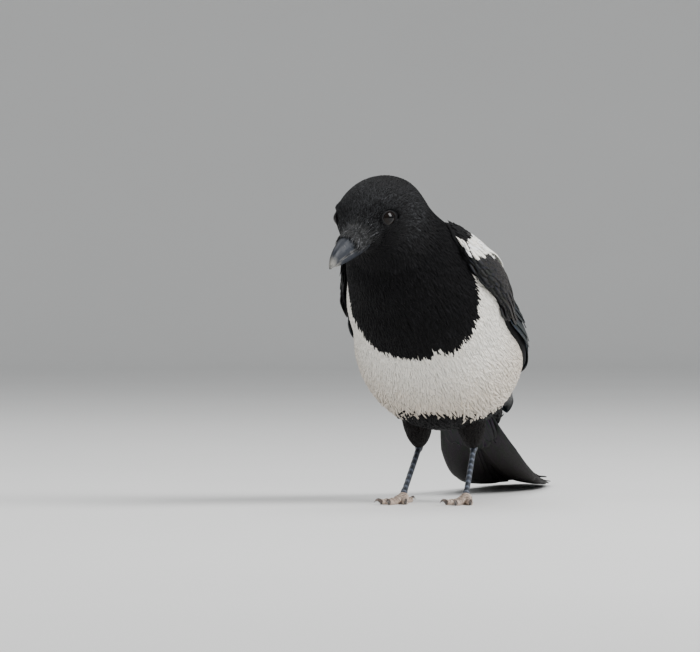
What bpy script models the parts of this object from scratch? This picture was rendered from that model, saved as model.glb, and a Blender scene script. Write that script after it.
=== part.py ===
# Eurasian magpie, life size, standing with its head turned and its tail laid down behind it.
# Lengths are written in millimetres in the bird's own frame: forward, left, up, with the
# floor at zero. to_world turns them into metres with the bird facing -Y.

import math

import bmesh
import bpy
import numpy as np
from mathutils import Matrix, Vector

COLLECTION = "Eurasian magpie"
CUTTER_COLLECTION = "Cutters"

MM = 0.001
GAP = 0.3
MERGE = 1e-6
FRAME_CENTRE = (-93.2, 0.0)

# The body is a smooth union of ellipsoids: centre (forward, left, up), half sizes
# (along, across, high), pitch and yaw in degrees, nose up and nose left positive.
HEAD_CENTRE = (63.0, -13.0, 146.0)
HEAD_PITCH = -27.0
HEAD_YAW = -16.0
BODY_PITCH = 34.0
BLEND = 3.5
SKULL = ((0.0, 0.0, 0.0), (21.5, 18.0, 15.2))
FACE = ((11.0, 0.0, -2.5), (12.5, 9.5, 9.0))
CHEEK = ((-6.0, 0.0, -6.0), (17.0, 17.0, 14.0))
NECK_LUMP = ((47.0, -8.5, 133.0), (24.0, 20.0, 19.0), 50.0, -10.0)
COLLAR_LUMP = ((37.0, -4.0, 119.0), (28.0, 29.0, 25.0), 42.0, -5.0)
BREAST_LUMP = ((14.0, 0.0, 101.0), (40.0, 38.5, 32.0), 38.0, 0.0)
BELLY_LUMP = ((-15.0, 0.0, 78.0), (48.0, 41.5, 36.0), BODY_PITCH, 0.0)
RUMP_LUMP = ((-52.0, 0.0, 62.0), (36.0, 20.5, 15.0), 30.0, 0.0)
TAIL_LUMP = ((-82.0, 0.0, 49.0), (34.0, 15.0, 6.5), 26.0, 0.0)
WING_REAR_LUMP = ((-64.0, 0.0, 64.0), (62.0, 19.5, 14.0), 27.5, 0.0)

# Eyes, in the head's frame: forward, left, up from the head's centre.
EYE_RADIUS = 4.4
EYE_PLACE = (12.8, 12.2, 1.9)
LID_RING = 4.65
LID_THICKNESS = 0.85
LID_TILT = 22.0

# Bill, in the head's frame.
BILL_BASE = 18.6
BILL_TIP = 53.5
LOWER_TIP = 50.0
GAPE_HEIGHT = -4.6
CULMEN_HEIGHT = 7.8
CHIN_DEPTH = 5.6
BILL_HALF_WIDTH = 6.6
TIP_HOOK = 1.4
HOOK_START = 44.0
MOUTH_ARCH = 0.9
NOSTRIL_STEP = 4.4
SNOUT_RINGS = ((0.61, 4.3), (0.79, 3.2), (0.92, 1.7))
BILL_START = BILL_BASE + SNOUT_RINGS[0][1] + GAP

# Legs.
ANKLES = {"left": (-43.0, 11.6, 27.0), "right": (-42.0, -16.6, 27.0)}
FOOT_JOINTS = {"left": (-5.0, 16.3, 4.2), "right": (-5.0, -16.0, 4.2)}
KNEES = {"left": (-20.0, 14.5, 56.0), "right": (-20.0, -11.8, 56.0)}
SIDES = {"left": 1, "right": -1}
TOE_SINK = 0.72
HUB_OFFSET = (-0.6, 0.0, -1.3)
HUB_RADIUS = 2.75
HUB_FLOOR = 0.12
CLAW_FLOOR = 0.2
BLOCK = 12.0
ANKLE_RADIUS = 2.4
THIGH_RADIUS = 8.9
THIGH_TAPER = 3.0
THIGH_CUFF = 3.0
THIGH_BOW = 5.0
TARSUS_HALF_WIDTH = 1.75
FOOT_CLEARANCE = 2.6
TARSUS_SCUTES = 9
TOE_RADIUS = 1.75
CLAW_LENGTH = 8.5
CLAW_RADIUS = 1.15
SOLE = 0.0

# Tail: lengths of the feathers from the middle pair outwards.
TAIL_ROOT = (-64.0, 0.0, 60.3)
TAIL_PITCH = 34.0
TAIL_YAW = -3.5
TAIL_LENGTH = 240.0
RECTRIX_LENGTHS = (240.0, 226.0, 207.0, 187.0, 165.0, 141.0)
RECTRIX_HALF_WIDTHS = (13.5, 11.0, 11.0, 11.0, 10.5, 10.0)
RECTRIX_SPREAD = (2.0, 7.5, 9.0, 10.5, 12.0, 13.5)
RECTRIX_LAYER = 0.88
VANE_THICKNESS = 0.5
VANE_STEP = 0.82
SUNK_ROOT = 1.9
WING_HEIGHT = 46.0
TIGHTEST_PITCH = 4.0
TAIL_CAMBER = 160.0
TAIL_FAN = 130.0
TAIL_FLATTEN = 1.5
STUMP_END = 182.0
COVERT_LIFT = 0.87
UPPER_COVERTS = ((-8.0, 50.0), (-2.7, 60.0), (2.7, 54.0), (8.0, 49.0))
LOWER_COVERTS = ((-7.0, 52.0), (0.0, 62.0), (7.0, 54.0))

MATERIALS = {
    "black_plumage": ((0.012, 0.012, 0.014), 0.55, 0.0),
    "white_plumage": ((0.82, 0.79, 0.73), 0.8, 0.0),
    "flight_plumage": ((0.012, 0.018, 0.028), 0.4, 0.0),
    "tail_plumage": ((0.012, 0.02, 0.018), 0.4, 0.0),
    "bill_horn": ((0.06, 0.065, 0.075), 0.35, 0.0),
    "eye_glaze": ((0.012, 0.007, 0.005), 0.08, 0.0),
    "tarsus_scutes": ((0.045, 0.05, 0.06), 0.5, 0.0),
    "toe_skin": ((0.3, 0.21, 0.17), 0.6, 0.0),
    "claw_horn": ((0.05, 0.04, 0.035), 0.35, 0.0),
}


def clear_scene():
    """Remove every object, so that the file holds only the bird."""
    for item in list(bpy.data.objects):
        bpy.data.objects.remove(item, do_unlink=True)


def new_collection(name):
    """Make a collection in the scene."""
    made = bpy.data.collections.new(name)
    bpy.context.scene.collection.children.link(made)
    return made


def material(name):
    """Principled material of one finish."""
    made = bpy.data.materials.get(name)
    if made is None:
        colour, roughness, metallic = MATERIALS[name]
        made = bpy.data.materials.new(name)
        made.use_nodes = True
        shader = made.node_tree.nodes["Principled BSDF"]
        shader.inputs["Base Color"].default_value = (*colour, 1.0)
        shader.inputs["Roughness"].default_value = roughness
        shader.inputs["Metallic"].default_value = metallic
    return made


def axes(pitch, yaw):
    """Forward, left and up unit vectors of a frame pitched and yawed, in degrees."""
    p, y = math.radians(pitch), math.radians(yaw)
    forward = np.array((math.cos(p) * math.cos(y), math.cos(p) * math.sin(y), math.sin(p)))
    left = np.array((-math.sin(y), math.cos(y), 0.0))
    return forward, left, np.cross(forward, left)


HEAD_AXES = np.array(axes(HEAD_PITCH, HEAD_YAW))


def from_head(points):
    """Points of the head's frame in the bird's frame."""
    return np.asarray(HEAD_CENTRE) + np.asarray(points, float) @ HEAD_AXES


# Stations of the loft: place along the body, ring centre, plane angle and yaw in degrees.
# The planes turn round the throat up to NECK_CUT and stay parallel behind it.
RING_ANGLE = 90.0 + BODY_PITCH
STATIONS = (
    (-30.0, tuple(from_head((BILL_BASE, 0.0, -3.5))), 90.0 + HEAD_PITCH, HEAD_YAW),
    (-22.0, (74.0, -16.0, 139.0), 76.0, -16.0),
    (-14.0, (69.0, -14.6, 142.8), 92.0, -15.0),
    (-6.0, (62.0, -12.6, 143.6), 108.0, -12.0),
    (0.0, (57.0, -11.0, 141.0), 118.0, -9.0),
    (8.0, (52.0, -9.5, 135.0), RING_ANGLE, -6.0),
    (20.0, (45.0, -7.0, 125.0), RING_ANGLE, -4.0),
    (40.0, (30.0, -3.0, 111.6), RING_ANGLE, 0.0),
    (77.0, (0.0, 0.0, 90.0), RING_ANGLE, 0.0),
    (110.0, (-29.2, 0.0, 74.3), RING_ANGLE, 0.0),
    (132.0, (-50.0, 0.0, 66.0), RING_ANGLE, 0.0),
    (150.0, (-65.7, 0.0, 56.8), RING_ANGLE, 0.0),
    (180.0, (-93.1, 0.0, 43.9), RING_ANGLE, 0.0),
    (195.0, (-106.4, 0.0, 36.8), RING_ANGLE, 0.0),
)
NECK_CUT = 8.0
TORSO_CUT = 26.0
TAIL_CUT = 148.0


def to_world(points):
    """Bird frame in millimetres to world metres, facing -Y."""
    points = np.asarray(points, float)
    forward = points[..., 0] - FRAME_CENTRE[0]
    left = points[..., 1] - FRAME_CENTRE[1]
    return np.stack((left, -forward, points[..., 2]), axis=-1) * MM


def head_lump(lump):
    """An ellipsoid given in the head's frame, as the body's ones are given."""
    return (tuple(from_head(lump[0])), lump[1], HEAD_PITCH, HEAD_YAW)


BODY_LUMPS = tuple(head_lump(lump) for lump in (SKULL, FACE, CHEEK)) + (
    NECK_LUMP, COLLAR_LUMP, BREAST_LUMP, BELLY_LUMP, RUMP_LUMP, TAIL_LUMP)
WING_LUMPS = BODY_LUMPS + (WING_REAR_LUMP,)


def lump_distance(points, lump):
    """Nearly the distance to an ellipsoid: k0 (k0 - 1) / k1 of the scaled point."""
    centre, sizes, pitch, yaw = lump
    local = (points - np.asarray(centre)) @ np.array(axes(pitch, yaw)).T
    scaled = local / np.asarray(sizes)
    near = np.linalg.norm(scaled, axis=-1)
    steep = np.linalg.norm(scaled / np.asarray(sizes), axis=-1)
    return near * (near - 1.0) / np.maximum(steep, 1e-6)


def distance(points, lumps):
    """Smooth union of the ellipsoids: the soft minimum of their distances."""
    values = np.stack([lump_distance(points, lump) for lump in lumps])
    least = values.min(axis=0)
    return least - BLEND * np.log(np.exp((least - values) / BLEND).sum(axis=0))


def slope(points, lumps):
    """Gradient of the union's distance by central differences."""
    step = 0.05
    columns = []
    for axis in np.eye(3):
        ahead = distance(points + axis * step, lumps)
        behind = distance(points - axis * step, lumps)
        columns.append((ahead - behind) / (2.0 * step))
    return np.stack(columns, axis=-1)


def settle(points, lumps, level):
    """Move points along the slope until they lie at the given height over the union."""
    for _ in range(5):
        lean = slope(points, lumps)
        error = distance(points, lumps) - level
        points = points - lean * (error / (lean ** 2).sum(axis=-1))[..., None]
    lean = slope(points, lumps)
    return points, lean / np.linalg.norm(lean, axis=-1, keepdims=True)


def station(place):
    """Ring centre, side and up directions at a place along the body."""
    places = [entry[0] for entry in STATIONS]
    centre = [np.interp(place, places, [entry[1][k] for entry in STATIONS]) for k in range(3)]
    angle = math.radians(np.interp(place, places, [entry[2] for entry in STATIONS]))
    yaw = math.radians(np.interp(place, places, [entry[3] for entry in STATIONS]))
    side = np.array((-math.sin(yaw), math.cos(yaw), 0.0))
    up = np.array((math.cos(angle) * math.cos(yaw), math.cos(angle) * math.sin(yaw),
                   math.sin(angle)))
    return np.array(centre), side, up


def ray_radius(centres, directions, lumps, level):
    """First place where each ray leaves the union, by steps and then by halving."""
    steps = np.arange(0.0, 84.0, 1.5)
    spots = centres[..., None, :] + directions[..., None, :] * steps[:, None]
    outside = distance(spots, lumps) > level
    first = np.maximum(outside.argmax(axis=-1), 1)
    near, far = steps[first - 1], steps[first]
    for _ in range(16):
        middle = 0.5 * (near + far)
        out = distance(centres + directions * middle[..., None], lumps) > level
        near, far = np.where(out, near, middle), np.where(out, middle, far)
    return near


def body_point(places, angles, lumps=BODY_LUMPS, level=0.0):
    """Points of the body's surface at places along it and angles round it from the top."""
    places, angles = np.broadcast_arrays(np.asarray(places, float), np.asarray(angles, float))
    frames = [station(place) for place in places.ravel()]
    centres = np.array([entry[0] for entry in frames]).reshape(*places.shape, 3)
    sides = np.array([entry[1] for entry in frames]).reshape(*places.shape, 3)
    ups = np.array([entry[2] for entry in frames]).reshape(*places.shape, 3)
    turn = np.radians(angles)[..., None]
    directions = ups * np.cos(turn) + sides * np.sin(turn)
    radius = ray_radius(centres, directions, lumps, level)
    return centres + directions * radius[..., None]


def add_mesh(name, points, faces, finish, home):
    """Mesh object from bird-frame points in millimetres, linked to a collection."""
    mesh = bpy.data.meshes.new(name)
    mesh.from_pydata([tuple(spot) for spot in to_world(points)], [], faces)
    made = bpy.data.objects.new(name, mesh)
    made.data.materials.append(material(finish))
    home.objects.link(made)
    return made


def ring_faces(rings, sides):
    """Triangles between neighbouring rings, with a fan over each end."""
    faces = []
    for ring in range(rings - 1):
        for side in range(sides):
            a = ring * sides + side
            b = ring * sides + (side + 1) % sides
            faces += [(a, b, b + sides), (a, b + sides, a + sides)]
    first, last = rings * sides, rings * sides + 1
    for side in range(sides):
        faces.append((first, (side + 1) % sides, side))
        tail = (rings - 1) * sides
        faces.append((last, tail + side, tail + (side + 1) % sides))
    return faces


def loft(name, rings, finish, home):
    """Closed tube through rings of points, capped at both ends round their middles."""
    rings = np.asarray(rings, float)
    count, sides = rings.shape[:2]
    points = np.concatenate((rings.reshape(-1, 3), [rings[0].mean(axis=0), rings[-1].mean(axis=0)]))
    made = add_mesh(name, points, ring_faces(count, sides), finish, home)
    face_outwards(made)
    return made


def face_outwards(item):
    """Turn the faces of a closed mesh outwards."""
    shape = bmesh.new()
    shape.from_mesh(item.data)
    bmesh.ops.recalc_face_normals(shape, faces=shape.faces)
    shape.to_mesh(item.data)
    shape.free()


def body_rings(places, sides, level=0.0):
    """Rings of the body at the given places."""
    angles = np.arange(sides) * 360.0 / sides
    return body_point(np.asarray(places)[:, None], angles[None, :], BODY_LUMPS, level)


def plate_faces(rows, columns):
    """Triangles of a thin closed plate, split alike on its upper and lower face."""
    lower = rows * columns
    faces = []
    for row in range(rows - 1):
        for column in range(columns - 1):
            a = row * columns + column
            b, c, d = a + 1, a + columns, a + columns + 1
            faces += [(a, b, d), (a, d, c)]
            faces += [(a + lower, d + lower, b + lower), (a + lower, c + lower, d + lower)]
    rim = [column for column in range(columns)]
    rim += [row * columns + columns - 1 for row in range(1, rows)]
    rim += [(rows - 1) * columns + column for column in range(columns - 2, -1, -1)]
    rim += [row * columns for row in range(rows - 2, 0, -1)]
    for spot, following in zip(rim, rim[1:] + rim[:1]):
        faces += [(spot, spot + lower, following + lower), (spot, following + lower, following)]
    return faces


def plate(name, upper, lower, finish, home):
    """Thin closed plate between an upper and a lower grid of points."""
    rows, columns = upper.shape[:2]
    points = np.concatenate((upper.reshape(-1, 3), lower.reshape(-1, 3)))
    made = add_mesh(name, points, plate_faces(rows, columns), finish, home)
    face_outwards(made)
    return made


def apply_boolean(item, operation, other=None, group=None, solver="EXACT"):
    """Join an object to others, or cut it by one, and keep the result as its mesh."""
    modifier = item.modifiers.new("join", "BOOLEAN")
    modifier.operation = operation
    modifier.solver = solver
    if group is None:
        modifier.operand_type = "OBJECT"
        modifier.object = other
    else:
        modifier.operand_type = "COLLECTION"
        modifier.collection = group
    bpy.context.view_layer.update()
    seen = item.evaluated_get(bpy.context.evaluated_depsgraph_get())
    result = bpy.data.meshes.new_from_object(seen)
    item.modifiers.remove(modifier)
    old = item.data
    item.data = result
    bpy.data.meshes.remove(old)
    result.name = item.name


def volume_of(shape, faces):
    """Signed volume inside a set of triangles."""
    return sum(face.verts[0].co.dot(face.verts[1].co.cross(face.verts[2].co)) for face in faces) / 6.0


def keep_largest(item):
    """Keep only the largest closed surface of a mesh, in triangles."""
    shape = bmesh.new()
    shape.from_mesh(item.data)
    bmesh.ops.remove_doubles(shape, verts=shape.verts, dist=MERGE)
    bmesh.ops.triangulate(shape, faces=shape.faces)
    unseen = set(shape.faces)
    groups = []
    while unseen:
        start = unseen.pop()
        group, edge_of_group = [start], [start]
        while edge_of_group:
            face = edge_of_group.pop()
            for edge in face.edges:
                for other in edge.link_faces:
                    if other in unseen:
                        unseen.remove(other)
                        group.append(other)
                        edge_of_group.append(other)
        groups.append(group)
    groups.sort(key=lambda faces: volume_of(shape, faces), reverse=True)
    loose = [face for group in groups[1:] for face in group]
    bmesh.ops.delete(shape, geom=loose, context="FACES")
    stray = [vert for vert in shape.verts if not vert.link_faces]
    bmesh.ops.delete(shape, geom=stray, context="VERTS")
    shape.to_mesh(item.data)
    shape.free()


def join_all(item, pieces, solver="EXACT"):
    """One union of an object with many closed pieces, which are then removed."""
    group = bpy.data.collections.new(item.name + "_pieces")
    bpy.context.scene.collection.children.link(group)
    for piece in pieces:
        for home in list(piece.users_collection):
            home.objects.unlink(piece)
        group.objects.link(piece)
    apply_boolean(item, "UNION", group=group, solver=solver)
    for piece in pieces:
        bpy.data.objects.remove(piece, do_unlink=True)
    bpy.data.collections.remove(group)
    keep_largest(item)


def cut(item, cutter, solver="EXACT"):
    """Cut an object by a cutter and keep its largest piece."""
    apply_boolean(item, "DIFFERENCE", other=cutter, solver=solver)
    keep_largest(item)


def ball(name, centre, radius, home, segments=24, rings=14, finish="black_plumage"):
    """Sphere primitive at a bird-frame place."""
    bpy.ops.mesh.primitive_uv_sphere_add(segments=segments, ring_count=rings, radius=radius * MM,
                                         location=to_world(centre))
    made = bpy.context.active_object
    made.name = name
    made.data.materials.append(material(finish))
    for old in list(made.users_collection):
        old.objects.unlink(made)
    home.objects.link(made)
    return made


def as_cutter(item):
    """Show a guide as wire and leave it out of the model."""
    item.hide_render = True
    item.display_type = "WIRE"
    return item


def eye_centre(side):
    """Centre of the left (1) or right (-1) eye."""
    return from_head((EYE_PLACE[0], side * EYE_PLACE[1], EYE_PLACE[2]))


def lid_ring(side, home):
    """Raised ring of the lids: a torus round the eye, facing outwards and a little forwards."""
    tilt = math.radians(LID_TILT)
    facing = np.array((math.sin(tilt), side * math.cos(tilt), 0.12)) @ HEAD_AXES
    facing /= np.linalg.norm(facing)
    centre = eye_centre(side) + facing * 1.9
    turn = Vector((facing[1], -facing[0], facing[2])).to_track_quat("Z", "Y")
    bpy.ops.mesh.primitive_torus_add(major_segments=16, minor_segments=5,
                                     major_radius=LID_RING * MM, minor_radius=LID_THICKNESS * MM)
    made = bpy.context.active_object
    made.data.transform(Matrix.Translation(to_world(centre)) @ turn.to_matrix().to_4x4())
    for old in list(made.users_collection):
        old.objects.unlink(made)
    home.objects.link(made)
    made.data.materials.append(material("black_plumage"))
    return made


def build_head(home, cutters):
    """Head from the bill's base to the nape, with lids and sockets for the eyes."""
    places = np.concatenate((np.linspace(-30.0, -20.0, 5), np.linspace(-17.0, NECK_CUT, 9)))
    rings = body_rings(places, 22)
    nose = rings[0].mean(axis=0)
    snout = [nose + (rings[0] - nose) * share + HEAD_AXES[0] * ahead for share, ahead in SNOUT_RINGS]
    head = loft("head", np.concatenate((snout, rings)), "black_plumage", home)
    join_all(head, [lid_ring(side, home) for side in (1, -1)])
    for side in (1, -1):
        cutter = as_cutter(ball("eye_socket", eye_centre(side), EYE_RADIUS + GAP, cutters, 16, 10))
        cut(head, cutter)
    return head


def build_neck(home):
    """Collar between the head and the torso."""
    places = np.linspace(NECK_CUT + GAP, TORSO_CUT, 6)
    return loft("neck", body_rings(places, 26), "black_plumage", home)


def build_torso(home):
    """Trunk from the collar to the tail's root."""
    places = np.concatenate((np.linspace(TORSO_CUT + GAP, 110.0, 13), np.linspace(116.0, TAIL_CUT, 5)))
    return loft("torso", body_rings(places, 28), "white_plumage", home)


def build_eyes(home):
    """The two eyeballs."""
    for side, word in ((1, "left"), (-1, "right")):
        ball("eye_" + word, eye_centre(side), EYE_RADIUS, home, 14, 9, "eye_glaze")


def bill_share(count, power):
    """Places from 0 to 1 along the bill, closer together at the tip."""
    return 1.0 - (1.0 - np.linspace(0.0, 1.0, count)) ** power


def mouth_height(along):
    """Height of the line of the mouth along the bill, with the tip's hook."""
    share = (along - BILL_BASE) / (BILL_TIP - BILL_BASE)
    hook = np.maximum((along - HOOK_START) / (BILL_TIP - HOOK_START), 0.0) ** 2
    return GAPE_HEIGHT + MOUTH_ARCH * np.sin(share * math.pi * 0.5) - TIP_HOOK * hook


def bill_half(name, tip, height, sign, sides, home):
    """Upper (1) or lower (-1) half of the bill: half an ellipse over the line of the mouth."""
    share = bill_share(10, 1.5)
    along = BILL_START + share * (tip - BILL_START)
    width = BILL_HALF_WIDTH * (1.0 - 0.55 * share) * np.sqrt(1.0 - 0.97 * share ** 3)
    tall = height * np.sqrt(np.maximum(1.0 - 0.985 * share ** 2.3, 0.0)) * (1.0 - 0.1 * share)
    mouth = mouth_height(along) + (0.0 if sign > 0 else -GAP)
    turn = np.linspace(0.0, math.pi, sides)
    rings = []
    for k in range(len(share)):
        across = width[k] * np.cos(turn)
        up = mouth[k] + sign * tall[k] * np.sin(turn) ** 0.85
        rings.append(from_head(np.stack((np.full(sides, along[k]), across, up), axis=-1)))
    return loft(name, rings, "bill_horn", home)


def build_bill(home, cutters):
    """Both halves of the bill, with a nostril pit on each side of the upper one."""
    upper = bill_half("bill_upper", BILL_TIP, CULMEN_HEIGHT, 1, 13, home)
    for side in (1, -1):
        place = from_head((BILL_START + NOSTRIL_STEP, side * (BILL_HALF_WIDTH - 0.6), GAPE_HEIGHT + 4.0))
        pit = as_cutter(ball("nostril", place, 1.0, cutters, 12, 8))
        cut(upper, pit)
    bill_half("bill_lower", LOWER_TIP, CHIN_DEPTH, -1, 13, home)


def tube_rings(path, radius_side, radius_up, sides, floor=None):
    """Rings along a path in the bird's frame, kept above a floor height."""
    path = np.asarray(path, float)
    along = np.gradient(path, axis=0)
    along /= np.linalg.norm(along, axis=1, keepdims=True)
    side = np.cross(np.array((0.0, 0.0, 1.0)), along)
    side /= np.linalg.norm(side, axis=1, keepdims=True)
    up = np.cross(along, side)
    turn = (np.arange(sides) + 0.5) * 2.0 * math.pi / sides - math.pi / 2.0
    rings = (path[:, None, :]
             + side[:, None, :] * (np.asarray(radius_side)[:, None] * np.cos(turn))[..., None]
             + up[:, None, :] * (np.asarray(radius_up)[:, None] * np.sin(turn))[..., None])
    if floor is not None:
        rings[..., 2] = np.maximum(rings[..., 2], floor)
    return rings


def build_thigh(word, home, skin_cutter):
    """Feathered shank from the belly down to the ankle's knob."""
    knee, ankle = np.array(KNEES[word]), np.array(ANKLES[word])
    share = np.linspace(0.0, 1.0, 9)
    end = ankle + (knee - ankle) / np.linalg.norm(knee - ankle) * (ANKLE_RADIUS + 2.0 * GAP)
    path = knee + (end - knee) * share[:, None]
    path[:, 0] += THIGH_BOW * np.sin(share * math.pi) * (1.0 - share)
    radius = THIGH_RADIUS - THIGH_TAPER * share - THIGH_CUFF * share ** 6
    thigh = loft("thigh_" + word, tube_rings(path, radius, radius * 1.1, 18), "black_plumage", home)
    cut(thigh, skin_cutter)


def build_tarsus(word, home):
    """Bare shank from the ankle's knob, with overlapping scutes down its front."""
    ankle, joint = np.array(ANKLES[word]), np.array(FOOT_JOINTS[word])
    length = np.linalg.norm(joint - ankle)
    knob = ANKLE_RADIUS / length
    finish = 1.0 - FOOT_CLEARANCE / length
    share, swell = [-0.85 * knob, -0.4 * knob, 0.4 * knob], [0.75, 1.2, 1.3]
    for scute in range(TARSUS_SCUTES):
        low = knob + (finish - knob) * scute / TARSUS_SCUTES
        high = knob + (finish - knob) * (scute + 1) / TARSUS_SCUTES
        share += [low, high - 0.004]
        swell += [0.93, 1.07]
    share, swell = np.array(share), np.array(swell)
    foot_end = 1.0 + 0.18 * np.exp(-((share - finish) / 0.06) ** 2)
    path = ankle + (joint - ankle) * share[:, None]
    radius = TARSUS_HALF_WIDTH * swell * foot_end
    loft("tarsus_" + word, tube_rings(path, radius * 0.86, radius * 1.05, 10), "tarsus_scutes", home)


# Toes in plan: turn from straight ahead in degrees (left positive on the left foot), reach of
# the toe's end from the foot's joint, and number of scutes.
TOES = {
    "inner": (-17.0, 19.5, 5),
    "middle": (2.0, 26.0, 7),
    "outer": (19.0, 20.5, 6),
    "hind": (184.0, 12.5, 3),
}


def toe_path(word, turn, reach, share):
    """Places along a toe: out from the foot's joint, arched at first and flat after."""
    joint = np.array(FOOT_JOINTS[word])
    angle = math.radians(turn) * SIDES[word]
    heading = np.array((math.cos(angle), math.sin(angle), 0.0))
    share = np.asarray(share, float)
    flat = TOE_RADIUS * TOE_SINK
    path = joint + heading * (share * reach)[:, None]
    path[:, 2] = joint[2] - (joint[2] - flat) * np.minimum(share * 2.2, 1.0) ** 0.7
    return path, heading


def toe_mesh(word, turn, reach, scutes, home):
    """One toe: a tube with a step at each scute and a flat pad under it."""
    steps, swell = [0.0], [0.9]
    for scute in range(scutes):
        steps += [(scute + 0.15) / scutes, (scute + 0.93) / scutes]
        swell += [0.9, 1.07]
    share = np.array(steps)
    path, _ = toe_path(word, turn, reach, share)
    radius = TOE_RADIUS * np.array(swell) * (1.12 - 0.3 * share)
    return loft("toe", tube_rings(path, radius, radius, 8, SOLE), "toe_skin", home)


def build_foot(word, home):
    """Foot of four toes joined at the joint under the shank, cut square to the shank."""
    joint = np.array(FOOT_JOINTS[word])
    hub = ball("foot_" + word, joint + np.array(HUB_OFFSET), HUB_RADIUS, home, 12, 8, "toe_skin")
    hub.data.transform(Matrix.Translation(hub.location))
    hub.location = (0.0, 0.0, 0.0)
    for vert in hub.data.vertices:
        vert.co.z = max(vert.co.z, HUB_FLOOR * MM)
    join_all(hub, [toe_mesh(word, *entry, home) for entry in TOES.values()])
    along = np.array(ANKLES[word]) - joint
    along /= np.linalg.norm(along)
    middle = joint + along * (FOOT_CLEARANCE - GAP + BLOCK / 2.0)
    bpy.ops.mesh.primitive_cube_add(size=BLOCK * MM)
    block = bpy.context.active_object
    turn = Vector((along[1], -along[0], along[2])).to_track_quat("Z", "Y")
    block.data.transform(Matrix.Translation(to_world(middle)) @ turn.to_matrix().to_4x4())
    cut(hub, block)
    bpy.data.objects.remove(block, do_unlink=True)


def build_claws(word, home):
    """Curved claw at the end of each toe."""
    for toe, (turn, reach, _) in TOES.items():
        path, heading = toe_path(word, turn, reach, [1.0])
        start = path[0] + heading * (GAP + 0.05)
        share = np.linspace(0.0, 1.0, 6)
        length = CLAW_LENGTH * (1.05 if toe == "hind" else 0.85)
        arch = 1.5 * np.sin(share * math.pi * 0.85)
        spine = start + heading * (length * (share - 0.12 * share ** 2))[:, None]
        spine[:, 2] = start[2] + arch - (start[2] - 0.45) * share ** 2.2
        radius = CLAW_RADIUS * (1.0 - 0.9 * share ** 1.2)
        rings = tube_rings(spine, radius * 0.8, radius * 1.05, 6, CLAW_FLOOR)
        loft("claw_" + toe + "_" + word, rings, "claw_horn", home)


def tail_table():
    """Reach and drop of the tail's centre line, summed along its length."""
    along = np.linspace(0.0, TAIL_LENGTH, 241)
    pitch = math.radians(TAIL_PITCH) * (1.0 - along / TAIL_LENGTH) ** TAIL_FLATTEN
    step = np.diff(along)
    reach = np.concatenate(([0.0], np.cumsum(step * np.cos(0.5 * (pitch[1:] + pitch[:-1])))))
    drop = np.concatenate(([0.0], np.cumsum(step * np.sin(0.5 * (pitch[1:] + pitch[:-1])))))
    return along, reach, drop, pitch


TAIL_TABLE = tail_table()


def tail_line(along):
    """Centre line of the tail: its pitch falls to level at the longest feather's tip."""
    return [np.interp(along, TAIL_TABLE[0], column) for column in TAIL_TABLE[1:]]


def tail_point(along, lateral, height):
    """Place over the tail: along it, to its left, and above its centre sheet."""
    reach, drop, pitch = tail_line(along)
    yaw = math.radians(TAIL_YAW)
    back = np.array((-math.cos(yaw), math.sin(yaw), 0.0))
    left = np.array((math.sin(yaw), math.cos(yaw), 0.0))
    rise = height - lateral ** 2 / (2.0 * TAIL_CAMBER)
    normal = np.stack((-np.sin(pitch) * back[0], -np.sin(pitch) * back[1], np.cos(pitch)), axis=-1) * -1.0
    normal[..., 2] *= -1.0
    middle = np.asarray(TAIL_ROOT) + reach[..., None] * back - drop[..., None] * np.array((0.0, 0.0, 1.0))
    return middle + left * lateral[..., None] + normal * rise[..., None]


def rectrix_outline(share):
    """Half width of a tail feather along its length, as a share of the greatest."""
    return np.minimum(0.34 + 0.9 * share ** 0.8, 1.0) * np.sqrt(np.maximum(1.0 - share ** 9, 0.0)) + 0.06


def tail_vane(length, half_width, spread, layer, side, home, start=6.0, rows=6):
    """One tail feather: a thin plate on the tail's sheet, below the feathers nearer the middle."""
    share = np.linspace(0.0, 1.0, rows) ** 0.9
    along = start + (length - start) * share
    width = half_width * rectrix_outline(share)
    middle = side * spread * np.minimum(0.4 + 0.6 * along / TAIL_FAN, 1.2)
    lateral = middle[:, None] + width[:, None] * np.array((-1.0, 0.0, 1.0))
    if layer > 1:
        inner = side * lateral
        lateral = side * np.maximum(inner, 0.2)
    rise = -layer * RECTRIX_LAYER + np.zeros(3)
    grid_along = np.repeat(along[:, None], 3, axis=1)
    half = VANE_THICKNESS * 0.5
    upper = tail_point(grid_along, lateral, rise + half)
    lower = tail_point(grid_along, lateral, rise - half)
    upper[..., 2] = np.maximum(upper[..., 2], VANE_THICKNESS)
    lower[..., 2] = np.maximum(lower[..., 2], 0.0)
    return plate("rectrix", upper, lower, "tail_plumage", home)


def tail_covert(lateral, start, tip, rises, half_width, home):
    """One covert over or under the tail's root, from the stump out along the feathers."""
    share = np.linspace(0.0, 1.0, 4)
    along = start + (tip - start) * share
    width = half_width * np.interp(share, (0.0, 0.34, 0.7, 1.0), (0.6, 1.0, 0.95, 0.4))
    spread = lateral * (0.8 + 0.35 * share)
    across = spread[:, None] + width[:, None] * np.array((-1.0, 0.0, 1.0))
    rise = np.interp(share, (0.0, 0.5, 1.0), rises)[:, None] + np.zeros(3)
    grid_along = np.repeat(along[:, None], 3, axis=1)
    half = VANE_THICKNESS * 0.5
    upper = tail_point(grid_along, across, rise + half)
    lower = tail_point(grid_along, across, rise - half)
    return plate("tail_covert", upper, lower, "tail_plumage", home)


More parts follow.
